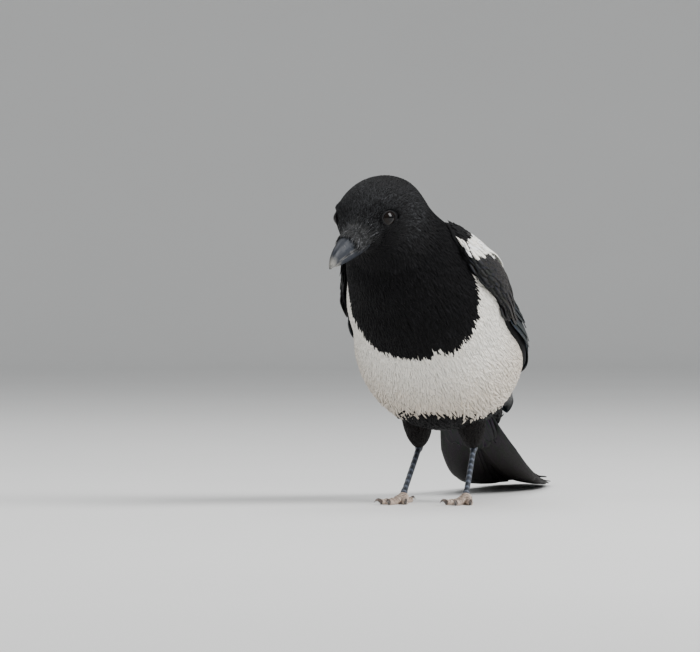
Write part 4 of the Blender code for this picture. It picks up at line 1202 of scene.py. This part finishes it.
def mouth_height(along):
    """Height of the line of the mouth along the bill, with the tip's hook."""
    share = (along - BILL_BASE) / (BILL_TIP - BILL_BASE)
    hook = np.maximum((along - HOOK_START) / (BILL_TIP - HOOK_START), 0.0) ** 2
    arch = MOUTH_ARCH * np.sin(np.minimum(share, 1.0) * math.pi * 0.5)
    return GAPE_HEIGHT + arch - TIP_HOOK * hook


def bill_rings(tip, height, sign):
    """Half of the bill over the line of the mouth: each ring is half an ellipse whose width and
    height close at the tip as roots of one less a power of the share along it. A ridge runs
    along the middle, and the cutting edge turns in a little."""
    rows, columns = BILL_GRID
    share = 1.0 - (1.0 - np.linspace(0.0, 0.999, rows)) ** 1.5
    along = BILL_START - BILL_INSET + share * (tip - BILL_START + BILL_INSET)
    width = BILL_HALF_WIDTH * (1.0 - BILL_TAPER * share)
    width = width * np.sqrt(np.maximum(1.0 - 0.97 * share ** 3, 0.0))
    tall = height * np.sqrt(np.maximum(1.0 - BILL_CLOSE * share ** BILL_CLOSE_POWER, 0.0))
    tall = tall * (1.0 - 0.1 * share)
    turn = np.linspace(0.0, math.pi, columns)
    across = np.cos(turn) * (1.0 - 0.05 * np.sin(turn) ** 6)
    up = np.sin(turn) ** BILL_ROUND
    groove = 1.0 - 0.03 * np.exp(-((np.abs(np.cos(turn)) - 0.72) / 0.1) ** 2)
    mouth = mouth_height(along) + (0.1 if sign > 0 else -0.4)
    local = together(along[:, None], width[:, None] * across * groove,
                     mouth[:, None] + sign * tall[:, None] * up * groove)
    return from_head(local), together(share[:, None], up, across)


class MAGPIE_OT_bill(PieceOperator, bpy.types.Operator):
    """Both halves of the slate bill, worn pale at the tip and along its edges"""

    bl_idname = "magpie.bill"
    bl_label = "Bill"

    def execute(self, context):
        colours = context.scene.magpie_colours
        nodes = Nodes("bill horn")
        share, up, _ = nodes.vane()
        streaks = nodes.noise(nodes.join(nodes.times(share, 3.0), nodes.times(up, 22.0)), 1.4)
        flecks = nodes.noise(nodes.spots(), 900.0, 5.0, 0.7)
        dust = nodes.noise(nodes.spots(), 260.0, 3.0)
        worn = nodes.times(nodes.ramp(share, ((0.8, 0.0), (1.0, 0.8))),
                           nodes.ramp(dust, ((0.38, 0.15), (0.56, 1.0))))
        edge = nodes.times(nodes.ramp(up, ((0.05, 0.28), (0.2, 0.0))),
                           nodes.times(nodes.ramp(share, ((0.15, 0.0), (0.6, 1.0))),
                                       nodes.ramp(dust, ((0.42, 0.1), (0.6, 1.0)))))
        colour = nodes.mix(nodes.math("MAXIMUM", worn, edge),
                           nodes.mottle(streaks, colours.bill, 1.8), colours.bill_tip)
        pale = nodes.times(nodes.ramp(flecks, ((0.6, 0.0), (0.66, 0.8))),
                           nodes.ramp(dust, ((0.5, 0.0), (0.65, 0.8))))
        colour = nodes.mix(pale, colour, (0.2, 0.2, 0.2))
        nodes.bump(nodes.math("ADD", streaks, nodes.times(flecks, 0.4)), 0.35, 0.0003)
        nodes.set(Base_Color=colour, Roughness=nodes.ramp(dust, ((0.3, 0.34), (0.7, 0.55))),
                  Specular_IOR_Level=0.22)
        for word, tip, height, sign in (("upper", BILL_TIP, CULMEN_HEIGHT, 1),
                                        ("lower", LOWER_TIP, CHIN_DEPTH, -1)):
            rings, place = bill_rings(tip, height, sign)
            item = tube("horn_" + word, rings, None, place)
            finish_piece(item, nodes.material, "bill_horn", ("bill_" + word,))
        return {"FINISHED"}


class MAGPIE_OT_bristles(PieceOperator, bpy.types.Operator):
    """Bristles that sweep forward over the nostrils and along the gape"""

    bl_idname = "magpie.bristles"
    bl_label = "Bristles"

    def execute(self, context):
        sizes, colours = context.scene.magpie_sizes, context.scene.magpie_colours
        reach = sizes.bristle_length / MM
        sheet = self.muzzle_sheet()
        material = feather_material("bristles")
        for name, (count, seed) in BRISTLES.items():
            rng = np.random.default_rng(seed)
            turn = math.pi * (0.08 + 0.84 * rng.random(count))
            length = reach * (0.5 + 0.5 * rng.random(count))
            sweep = 0.3 * np.cos(turn)
            if name == "gape_bristles":
                turn = np.where(rng.random(count) < 0.5, 0.0, math.pi)
                turn = turn + rng.normal(0.0, 0.2, count)
                length *= 0.62
                sweep = np.zeros(count)
            start = BILL_BASE + 0.3 + 6.5 * rng.random(count)
            size = {"length": length, "half": 0.15 + 0.12 * rng.random(count),
                    "lift": 0.35 + 0.6 * rng.random(count), "sink": -0.2,
                    "turn": sweep + rng.normal(0.0, 0.13, count)}
            # Painted highlight: the bristles take the grey of the head's painted sheen, lighter or
            # darker at random.
            colour = np.minimum(0.6 * varied(colours.head_sheen_grey, 1.2, rng, count, 1), 0.3)
            item = lens_piece(name, sheet, start, turn, size, colour, rng,
                              ((BILL_BASE - 0.6, MUZZLE_END), MUZZLE_TURN))
            finish_piece(item, material, "black_plumage")
        return {"FINISHED"}

    def muzzle_sheet(self):
        """From the face's first ring to the middle of the upper bill, by place along the head
        and angle round the bill: the snout's dome gives way to the bill by a smooth step."""
        place = np.arange(BILL_BASE, MUZZLE_END, 0.6)
        turn = np.linspace(*MUZZLE_TURN, 61)
        ring = body_point(FACE_RING, 90.0 - np.degrees(turn), BODY_LUMPS)
        nose = body_point(FACE_RING, np.arange(-180.0, 180.0, 10.0), BODY_LUMPS).mean(axis=0)
        share = np.arcsin(np.clip((place - BILL_BASE) / SNOUT_REACH, 0.0, 1.0)) * 2.0 / math.pi
        ahead = (place - BILL_BASE)[:, None, None] * HEAD_AXES[0]
        face = nose + (ring - nose) * snout_width(share)[:, None, None] + ahead
        length = np.clip((place - BILL_START) / (BILL_TIP - BILL_START), 0.0, 1.0)[:, None]
        width = BILL_HALF_WIDTH * (1.0 - BILL_TAPER * length)
        tall = np.where(np.sin(turn) > 0.0, CULMEN_HEIGHT, CHIN_DEPTH) * (1.0 - 0.1 * length)
        tall = tall * np.sqrt(1.0 - BILL_CLOSE * length ** BILL_CLOSE_POWER)
        lift = np.sign(np.sin(turn)) * np.abs(np.sin(turn)) ** BILL_ROUND
        bill = from_head(together(place[:, None], width * np.cos(turn),
                                  mouth_height(place)[:, None] + tall * lift))
        step = smooth(*MUZZLE_JOIN, place)[:, None, None]
        return Sheet(place, turn, face * (1.0 - step) + bill * step, -1.0)


# Wings and tail

# Tiers of one wing: count, places of the first and last root and tip, shares of the wing's
# height at root and tip, half width, height over the body, rows, columns, and finish.
WING_TIERS = {
    "primaries": (8, (94.0, 84.0), (197.0, 150.0), (0.92, 0.66), (0.80, 0.52),
                  4.4, 2.1, 44, 9, "flight"),
    "secondaries": (9, (78.0, 64.0), (152.0, 126.0), (0.84, 0.20), (0.88, 0.16),
                    4.6, 3.0, 36, 9, "flight"),
    "greater_coverts": (10, (56.0, 50.0), (102.0, 92.0), (0.92, 0.24), (0.90, 0.24),
                        4.0, 3.9, 28, 7, "flight"),
    "median_coverts": (9, (40.0, 34.0), (77.0, 68.0), (0.92, 0.30), (0.92, 0.30),
                       3.9, 4.4, 20, 7, "covert"),
    "scapulars": (9, (22.0, 34.0), (62.0, 104.0), (0.46, 0.03), (0.36, 0.03),
                  5.0, 5.0, 26, 7, "shoulder"),
}
TIER_STEP = 0.62
TIER_FALL = 46.0
ARM_SPAN = (17.0, 122.0)
ARM_GRID = (54, 25)
SHELL_RISE = ((17.0, 28.0, 70.0, 105.0, 122.0), (2.6, 3.7, 3.0, 2.2, 1.5))
SMALL_PLACES = (17.0, 30.0, 60.0)
SMALL_LENGTHS = (5.5, 8.5, 11.0)
SMALL_HALVES = (1.5, 2.1, 2.7)
SMALL_DENSITY = 0.3
PATCH_LOW = ((25.0, 32.0, 38.0, 49.0, 66.0), (0.9, 0.84, 0.62, 0.48, 0.46))
PATCH_HIGH = ((25.0, 27.0, 33.0, 40.0, 46.0), (0.72, 0.58, 0.36, 0.12, -0.1))
PALEST = 0.85


def tier_spec(tier, rng):
    """Roots, tips, widths and heights of one row of long feathers, from the low edge up."""
    count, roots, tips, root_shares, tip_shares, half, height, _, columns, _ = tier
    step = np.linspace(0.0, 1.0, count)
    spread = abs(root_shares[0] - root_shares[1]) * TIER_FALL / (count - 1)

    def between(ends, shake):
        return ends[0] + (ends[1] - ends[0]) * step + rng.normal(0.0, shake, count)

    width = half * jitter(rng, 0.07, count)
    return {
        "root": together(between(roots, 0.7), between(root_shares, 0.006)),
        "tip": together(between(tips, 1.3), between(tip_shares, 0.012)),
        "left": width, "right": width * 0.92,
        "height": together(1.8, height, height - 0.1 * step),
        "lean": np.full(count, TIER_STEP / max(spread, 3.0)),
        "bow": rng.normal(0.0, 0.006, count), "droop": 1.0 / 76.0, "blunt": 7.0, "narrow": 0.45,
        "wear": np.abs(rng.normal(0.0, 0.012, (count, columns))),
    }


class MAGPIE_OT_wings(PieceOperator, bpy.types.Operator):
    """Folded wings: an arm of small scaly feathers and tiers of long ones"""

    bl_idname = "magpie.wings"
    bl_label = "Wings"

    def execute(self, context):
        colours = context.scene.magpie_colours
        gloss = (tuple(colours.gloss_blue), tuple(colours.gloss_green))
        finishes = {word: feather_material(word + " feathers", amount and (*gloss, amount))
                    for word, amount in (("flight", 0.6), ("covert", 0.22), ("mantle", None),
                                         ("shoulder", None))}
        bases = {"flight": colours.wing_black, "covert": colours.covert,
                 "mantle": colours.black, "shoulder": colours.white}

        def dress(item, finish):
            slot = "white_plumage" if finish == "shoulder" else "flight_plumage"
            finish_piece(item, finishes[finish], slot)

        for number, (word, side) in enumerate(SIDES.items()):
            rng = np.random.default_rng(WING_SEED + number)
            sheet = self.sheet(word)
            finish_piece(self.arm(word, sheet, colours), finishes["mantle"], "flight_plumage",
                         ("wing_" + word,))
            for tier_name, tier in WING_TIERS.items():
                spec = tier_spec(tier, rng)
                spec["lean"] *= side * -1.0
                rows, columns, finish = tier[7:]
                colour = varied(bases[finish], 0.1, rng, tier[0], 1, 1, 1)
                dress(vane_piece(tier_name + "_" + word, sheet, spec, rows, columns,
                                 np.minimum(colour, PALEST), rng), finish)
            for name, place, share, size, finish in self.small(sheet, rng):
                colour = np.minimum(varied(bases[finish], 0.12, rng, len(place), 1), PALEST)
                dress(lens_piece(name + word, sheet, place, share, size, colour, rng,
                                 WING_UNWRAP), finish)
        return {"FINISHED"}

    def arm(self, word, sheet, colours):
        """Closed shell under the feathers: its outer face rises from the rim as a root of sine."""
        place, share = np.meshgrid(np.linspace(*ARM_SPAN, ARM_GRID[0]),
                                   np.linspace(0.0, 1.0, ARM_GRID[1]), indexing="ij")
        spot, up, _, _ = sheet.read(place, share)
        rim = np.minimum(np.sin(share * math.pi) * 2.2, 1.0)
        front = np.clip((place - ARM_SPAN[0]) / 8.0, 0.0, 1.0)
        rise = 0.9 + (np.interp(place, *SHELL_RISE) - 0.4) * np.sqrt(np.maximum(rim * front, 0.0))
        points = np.stack((spot + up * rise[..., None], spot + up * 0.5))
        layer = np.array((0.0, 1.05))[:, None, None]
        along = (place - ARM_SPAN[0]) / (ARM_SPAN[1] - ARM_SPAN[0])
        patch = together(along, (share + layer) / 2.1)
        made = faces_to_mesh("wing_arm_" + word, points, plate_faces(*ARM_GRID), 1,
                             marks(colours.black, 1.0), np.zeros(3), np.clip(patch, 0.0, 1.0))
        turn_outwards(made)
        return made

    def small(self, sheet, rng):
        """Names, places, sizes and finishes of the lesser coverts over the arm, and of the black
        and white feathers over the shoulder."""
        place, share = spread_seeds(sheet, (17.5, 60.0), (0.0, 1.0),
                                    lambda first, second: np.full(first.shape, SMALL_DENSITY), 0.3)
        count = len(place)
        plan = np.interp(place, SMALL_PLACES, SMALL_LENGTHS)
        length = plan * jitter(rng, 0.1, count)
        tip = place + 0.75 * plan
        white = (share < np.interp(tip, *PATCH_LOW)) & (share > np.interp(tip, *PATCH_HIGH))
        rim = np.minimum(np.sin(np.clip(share, 0.0, 1.0) * math.pi) * 2.2, 1.0)
        lift = np.interp(place, *SHELL_RISE) + 0.9
        lift = 1.1 + (lift - 1.1) * np.sqrt(rim * np.clip((place - 15.0) / 10.0, 0.0, 1.0))
        half = np.interp(place, SMALL_PLACES, SMALL_HALVES) * jitter(rng, 0.08, count)
        size = {"length": length, "half": half, "lift": lift + 0.45, "sink": (lift - 0.6)[:, None],
                "crown": 0.12, "turn": rng.normal(0.0, 0.08, count)}
        front = ~white & ((tip < 30.0) | (share < 0.3))
        for name, chosen, finish in (("lesser_coverts_", ~white & ~front, "covert"),
                                     ("shoulder_front_", front, "mantle"),
                                     ("shoulder_patch_", white & ~front, "shoulder")):
            yield name, place[chosen], share[chosen], part_of(size, chosen), finish


class MAGPIE_OT_tail(PieceOperator, bpy.types.Operator):
    """Twelve graduated tail feathers with worn tips, and the coverts over and under them"""

    bl_idname = "magpie.tail"
    bl_label = "Tail"

    def execute(self, context):
        colours = context.scene.magpie_colours
        sheet, rng = self.sheet("tail"), np.random.default_rng(TAIL_SEED)
        gloss = (tuple(colours.gloss_green), (0.035, 0.02, 0.05), 0.7)
        material = feather_material("tail feathers", gloss)
        lengths, halves, spread = (np.repeat(values, 2) for values in
                                   (RECTRIX_LENGTHS, RECTRIX_HALF_WIDTHS, RECTRIX_SPREAD))
        count, columns = len(lengths), 17
        side = np.tile((1.0, -1.0), count // 2)
        rank = np.repeat(np.arange(count // 2), 2)
        layer = np.where((rank > 0) | (side < 0.0), rank + 1.0, 0.0)
        wear = np.abs(rng.normal(0.0, 0.008, (count, columns)))
        wear += 0.05 * (rng.random((count, columns)) > 0.9)
        end = lengths / TAIL_FAN
        spec = {
            "root": together(6.0, side * spread * 0.4),
            "tip": together(lengths, side * spread * np.minimum(0.4 + 0.6 * end, 1.2)),
            "left": halves * np.where(side < 0.0, 0.8, 1.0),
            "right": halves * np.where(side > 0.0, 0.8, 1.0),
            "height": -(layer * RECTRIX_LAYER)[:, None] + np.zeros(3),
            "lean": np.zeros(count), "bow": side * 0.6, "droop": 0.0, "blunt": 9.0, "narrow": 0.4,
            "wear": wear,
        }
        brown = varied(colours.tail_brown, 0.12, rng, count, 1, 1, 1)
        item = vane_piece("tail_feathers", sheet, spec, 80, columns, brown, rng, 0.35, 0.0)
        finish_piece(item, material, "tail_plumage", ("tail",))
        for name, count, tip, rise in (("tail_coverts_over", 11, 60.0, (1.0, 2.9, 1.9)),
                                       ("tail_coverts_under", 13, 62.0, (-4.6, -7.4, -7.6))):
            lateral = np.linspace(-10.0, 10.0, count)[rng.permutation(count)]
            reach = tip - 0.9 * np.abs(lateral) + rng.normal(0.0, 3.0, count)
            layer = (np.arange(count) % 4)[:, None] * 0.3
            coverts = {
                "root": together(8.0, lateral * 0.8), "tip": together(reach, lateral * 1.15),
                "left": np.full(count, 4.6), "right": np.full(count, 4.6),
                "height": np.array(rise) + layer * np.sign(rise[1]),
                "lean": np.zeros(count), "bow": rng.normal(0.0, 0.5, count), "droop": 1.0 / 60.0,
                "blunt": 4.0, "narrow": 0.5, "wear": np.abs(rng.normal(0.0, 0.05, (count, 7))),
            }
            shade = varied(brown.mean(axis=0)[None], 0.2, rng, count, 1, 1, 1)
            item = vane_piece(name, sheet, coverts, 24, 7, shade, rng)
            finish_piece(item, material, "tail_plumage")
        return {"FINISHED"}


# Legs


def scute_wave(share, count):
    """Overlapping plates along a limb: each rises slowly and drops at its end."""
    step = (share * count) % 1.0
    return step ** 0.6 * (1.0 - step ** 6.0)


def toe_way(turn, word):
    """Level direction of a toe, from its turn out of straight ahead in degrees."""
    angle = math.radians(turn) * SIDES[word]
    return np.array((math.cos(angle), math.sin(angle), 0.0))


class MAGPIE_OT_legs(PieceOperator, bpy.types.Operator):
    """Bare shanks with scutes, toes with scutes and pads, and curved claws"""

    bl_idname = "magpie.legs"
    bl_label = "Legs"

    def execute(self, context):
        colours = context.scene.magpie_colours
        shank = self.skin_material("shank skin", colours.shank, 5.0, 0.42)
        toe = self.skin_material("toe skin", colours.toe, 0.16, 0.55)
        claw = self.claw_material(colours)
        for word in SIDES:
            self.shank(word, shank)
            self.foot(word, toe)
            self.claws(word, claw)
        return {"FINISHED"}

    def skin_material(self, name, colour, edge, roughness):
        """Scaled skin: plate edges lighter or darker by the edge factor, with dust between."""
        nodes = Nodes(name)
        wave, front, _ = nodes.vane()
        cells = nodes.add("ShaderNodeTexVoronoi", (("Vector", nodes.spots()),), in_Scale=1500.0)
        dust = nodes.noise(nodes.spots(), 420.0)
        groove = nodes.ramp(wave, ((0.25, 1.0), (0.6, 0.0)))
        rim = [min(value * edge, 0.5) for value in colour]
        shade = nodes.mix(nodes.times(groove, front), nodes.mottle(dust, colour, 1.9, 0.6), rim)
        grain = nodes.times(nodes.ramp(cells.outputs["Distance"], ((0.0, 1.0), (0.6, 0.0))),
                            nodes.math("SUBTRACT", 1.0, front))
        nodes.bump(nodes.math("ADD", nodes.times(grain, 0.8), nodes.times(dust, 0.4)), 0.6, 0.0003)
        rough = nodes.ramp(dust, ((0.3, roughness - 0.08), (0.7, roughness + 0.1)))
        nodes.set(Base_Color=shade, Roughness=rough)
        return nodes.material

    def claw_material(self, colours):
        """Dark horn with paler dust on it."""
        nodes = Nodes("claw horn")
        dust = nodes.noise(nodes.spots(), 500.0)
        nodes.bump(dust, 0.3, 0.0002)
        nodes.set(Base_Color=nodes.mottle(dust, colours.claw, 2.6), Roughness=0.34,
                  Coat_Weight=0.2, Coat_Roughness=0.25)
        return nodes.material

    def limb(self, name, path, radius, tall, scutes, floor=None, sides=28):
        """Tube whose upper front swells plate by plate, with its back left round."""
        share = np.linspace(0.0, 1.0, len(path))
        turn = full_turn(sides)
        front = np.clip(np.cos(turn - math.pi * 0.5) * 1.7 + 0.1, 0.0, 1.0)
        wave = scute_wave(share, scutes)
        swell = 1.0 + 0.15 * (wave[:, None] - 0.5) * front
        rings = rings_across(path, radius[:, None] * np.cos(turn) * swell,
                             tall[:, None] * np.sin(turn) * swell)
        if floor is not None:
            rings[..., 2] = np.maximum(rings[..., 2], floor)
        return tube(name, rings, None, together(wave[:, None], front[None, :], share[:, None]))

    def shank(self, word, material):
        """Shank from the ankle's knob to the foot, thicker at both ends."""
        ankle, joint = np.array(ANKLES[word]), np.array(FOOT_JOINTS[word])
        share = np.linspace(-0.06, 0.97, 180)
        swell = 0.92 + 0.4 * np.exp(-((share + 0.005) / 0.055) ** 2)
        swell = swell + 0.22 * np.exp(-((share - 0.96) / 0.06) ** 2)
        path = ankle + (joint - ankle) * share[:, None]
        close = np.sqrt(np.clip((share + 0.075) / 0.05, 0.0, 1.0))
        radius = TARSUS_HALF_WIDTH * swell * close
        item = self.limb("shank_" + word, path, radius * 0.86, radius * 1.05, 9)
        finish_piece(item, material, "tarsus_scutes", ("tarsus_" + word,))

    def foot(self, word, material):
        """Four toes that join in a hub under the shank."""
        joint = np.array(FOOT_JOINTS[word])
        pieces = []
        for turn, reach, scutes in TOES.values():
            share = np.linspace(0.0, 1.0, 110)
            path = joint + toe_way(turn, word) * (share * reach)[:, None]
            fall = (joint[2] - TOE_RADIUS * TOE_SINK) * np.minimum(share * 2.2, 1.0) ** 0.7
            path[:, 2] = joint[2] - fall
            pads = np.cos(share * math.pi * 2.0 * (scutes // 2)) * smooth(0.2, 0.4, share)
            radius = TOE_RADIUS * (1.12 - 0.3 * share) * (1.0 + 0.1 * pads)
            radius = radius * np.sqrt(np.clip((1.03 - share) / 0.08, 0.2, 1.0))
            pieces.append(self.limb("toe", path, radius, radius, scutes, 0.0, 22))
        ball, _ = ball_grid(24, 32, 0.03)
        rings = joint + np.array((-0.6, 0.0, -1.3)) + ball * np.array((3.0, 2.7, 2.6))
        rings[..., 2] = np.maximum(rings[..., 2], 0.15)
        hub = tube("toes_" + word, rings, None, np.array((0.5, 0.0, 0.0)))
        with bpy.context.temp_override(active_object=hub, object=hub,
                                       selected_editable_objects=[hub, *pieces]):
            bpy.ops.object.join()
        finish_piece(hub, material, "toe_skin", ("foot_" + word,))

    def claws(self, word, material):
        """Claws that arch up from the toes' ends and come down to the floor."""
        joint = np.array(FOOT_JOINTS[word])
        for toe, (turn, reach, _) in TOES.items():
            heading = toe_way(turn, word)
            start = joint + heading * (reach - 0.5)
            start[2] = TOE_RADIUS * TOE_SINK
            share = np.linspace(0.0, 1.0, 40)
            length = CLAW_LENGTH * (1.05 if toe == "hind" else 0.85) + 0.8
            path = start + heading * (length * (share - 0.12 * share ** 2))[:, None]
            arch = 1.5 * np.sin(share * math.pi * 0.85)
            path[:, 2] = start[2] + arch - (start[2] - 0.5) * share ** 2.2
            radius = CLAW_RADIUS * (1.0 - 0.93 * share ** 1.2)
            rings = path_rings(path, radius * 0.8, radius * 1.05, 20)
            rings[..., 2] = np.maximum(rings[..., 2], CLAW_CLEARANCE)
            item = tube("nail_%s_%s" % (toe, word), rings)
            finish_piece(item, material, "claw_horn", ("claw_%s_%s" % (toe, word),))


# Stage


def way_round(turn, rise):
    """Direction from the bird at a turn and a rise round it, in degrees."""
    a, e = math.radians(turn), math.radians(rise)
    return Vector((math.sin(a) * math.cos(e), -math.cos(a) * math.cos(e), math.sin(e)))


class MAGPIE_OT_stage(PieceOperator, bpy.types.Operator):
    """Pale floor that curves up into a wall, soft lights and the camera"""

    bl_idname = "magpie.stage"
    bl_label = "Stage"

    view_turn = 14.0
    view_rise = 0.5
    view_reach = 3.0
    pixels_for_mm = 2.0
    picture_width = 700.0
    sensor = 36.0
    centre_left = -41.0
    centre_height = 89.0
    # Lamps: name, width in metres, turn and rise in degrees, and distance in metres.
    lamps = (("key", 1.1, 62.0, 38.0, 1.9), ("fill", 1.6, -48.0, 18.0, 2.2),
             ("top", 1.8, 190.0, 68.0, 2.2))
    floor_grid = (91, 160)

    def execute(self, context):
        light = context.scene.magpie_light
        self.floor(light.floor)
        for name, *place in self.lamps:
            self.lamp(name, getattr(light, name), *place)
        world = bpy.data.worlds.new("pale surround")
        world.use_nodes = True
        back = world.node_tree.nodes["Background"]
        back.inputs["Color"].default_value = (0.93, 0.95, 0.97, 1.0)
        back.inputs["Strength"].default_value = light.world
        context.scene.world = world
        self.camera(context)
        return {"FINISHED"}

    def floor(self, half):
        """Round floor: level to near three quarters of its radius, and then its height rises as
        the square of the distance past that."""
        rows, sides = self.floor_grid
        radius = np.concatenate(((0.001,), np.linspace(0.05, half, rows - 1)))[:, None]
        turn = full_turn(sides)
        rise = np.maximum(radius - 0.72 * half, 0.0) ** 2 * 0.9
        rings = together(radius * np.cos(turn), radius * np.sin(turn), rise) / MM
        rings[..., 0] += FRAME_CENTRE[0]
        faces = [*grid_quads(rows, sides, True)[:, (0, 3, 2, 1)], range(sides)]
        item = faces_to_mesh("floor", rings, faces)
        nodes = Nodes("pale floor")
        dust = nodes.noise(nodes.spots(), 3.0)
        pale = nodes.mix(dust, (0.74, 0.74, 0.73), (0.79, 0.79, 0.78))
        nodes.set(Base_Color=pale, Roughness=0.7)
        item.data.materials.append(nodes.material)
        item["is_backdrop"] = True

    def lamp(self, name, power, size, turn, rise, reach):
        """Square area light that faces the bird from a turn and a rise round it, in degrees."""
        data = bpy.data.lights.new(name, "AREA")
        data.energy, data.size = power, size
        lamp = bpy.data.objects.new(name, data)
        bpy.context.scene.collection.objects.link(lamp)
        way = way_round(turn + self.view_turn, rise)
        lamp.location = way * reach + Vector((0.0, -0.09, 0.09))
        lamp.rotation_euler = way.to_track_quat("Z", "Y").to_euler()

    def camera(self, context):
        """Camera at the photograph's viewing angle, with a long lens."""
        data = bpy.data.cameras.new("camera")
        data.sensor_width = self.sensor
        data.lens = self.pixels_for_mm * self.sensor * self.view_reach / MM / self.picture_width
        data.clip_start, data.clip_end = 0.05, 60.0
        camera = bpy.data.objects.new("camera", data)
        context.scene.collection.objects.link(camera)
        back = way_round(self.view_turn, self.view_rise)
        a = math.radians(self.view_turn)
        right = Vector((math.cos(a), math.sin(a), 0.0))
        middle = Vector(to_world(np.zeros(3))) + right * (self.centre_left * MM)
        middle.z = self.centre_height * MM
        camera.location = middle + back * self.view_reach
        camera.rotation_euler = back.to_track_quat("Z", "Y").to_euler()
        context.scene.camera = camera


class MAGPIE_PT_panel(bpy.types.Panel):
    """Sizes, colours and steps of the magpie"""

    bl_idname = "MAGPIE_PT_panel"
    bl_label = "Eurasian Magpie"
    bl_space_type = "VIEW_3D"
    bl_region_type = "UI"
    bl_category = "Magpie"

    def draw(self, context):
        layout = self.layout
        for group in (context.scene.magpie_sizes, context.scene.magpie_colours,
                      context.scene.magpie_light):
            box = layout.box()
            for key in group.bl_rna.properties.keys():
                if key not in {"rna_type", "name"}:
                    box.prop(group, key)
        for step in STEPS:
            layout.operator(step.bl_idname)


STEPS = (MAGPIE_OT_skin, MAGPIE_OT_coat, MAGPIE_OT_eyes, MAGPIE_OT_bill, MAGPIE_OT_bristles,
         MAGPIE_OT_wings, MAGPIE_OT_tail, MAGPIE_OT_legs, MAGPIE_OT_stage)
GROUPS = {"magpie_sizes": MagpieSizes, "magpie_colours": MagpieColours,
          "magpie_light": MagpieLight}


def register():
    """Add the property groups, the operators and the panel."""
    for key, group in GROUPS.items():
        bpy.utils.register_class(group)
        setattr(bpy.types.Scene, key, bpy.props.PointerProperty(type=group))
    for made in (*STEPS, MAGPIE_PT_panel):
        bpy.utils.register_class(made)


def unregister():
    """Remove what register added."""
    for made in reversed((*STEPS, MAGPIE_PT_panel)):
        bpy.utils.unregister_class(made)
    for key, group in reversed(GROUPS.items()):
        delattr(bpy.types.Scene, key)
        bpy.utils.unregister_class(group)


def main():
    """Run every step in order."""
    register()
    for step in STEPS:
        area, name = step.bl_idname.split(".")
        getattr(getattr(bpy.ops, area), name)()
    boxes = {"cad": CAD_BOX, "visual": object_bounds()}
    {key: [list(corner) for corner in box] for key, box in boxes.items()}


if __name__ == "__main__":
    main()
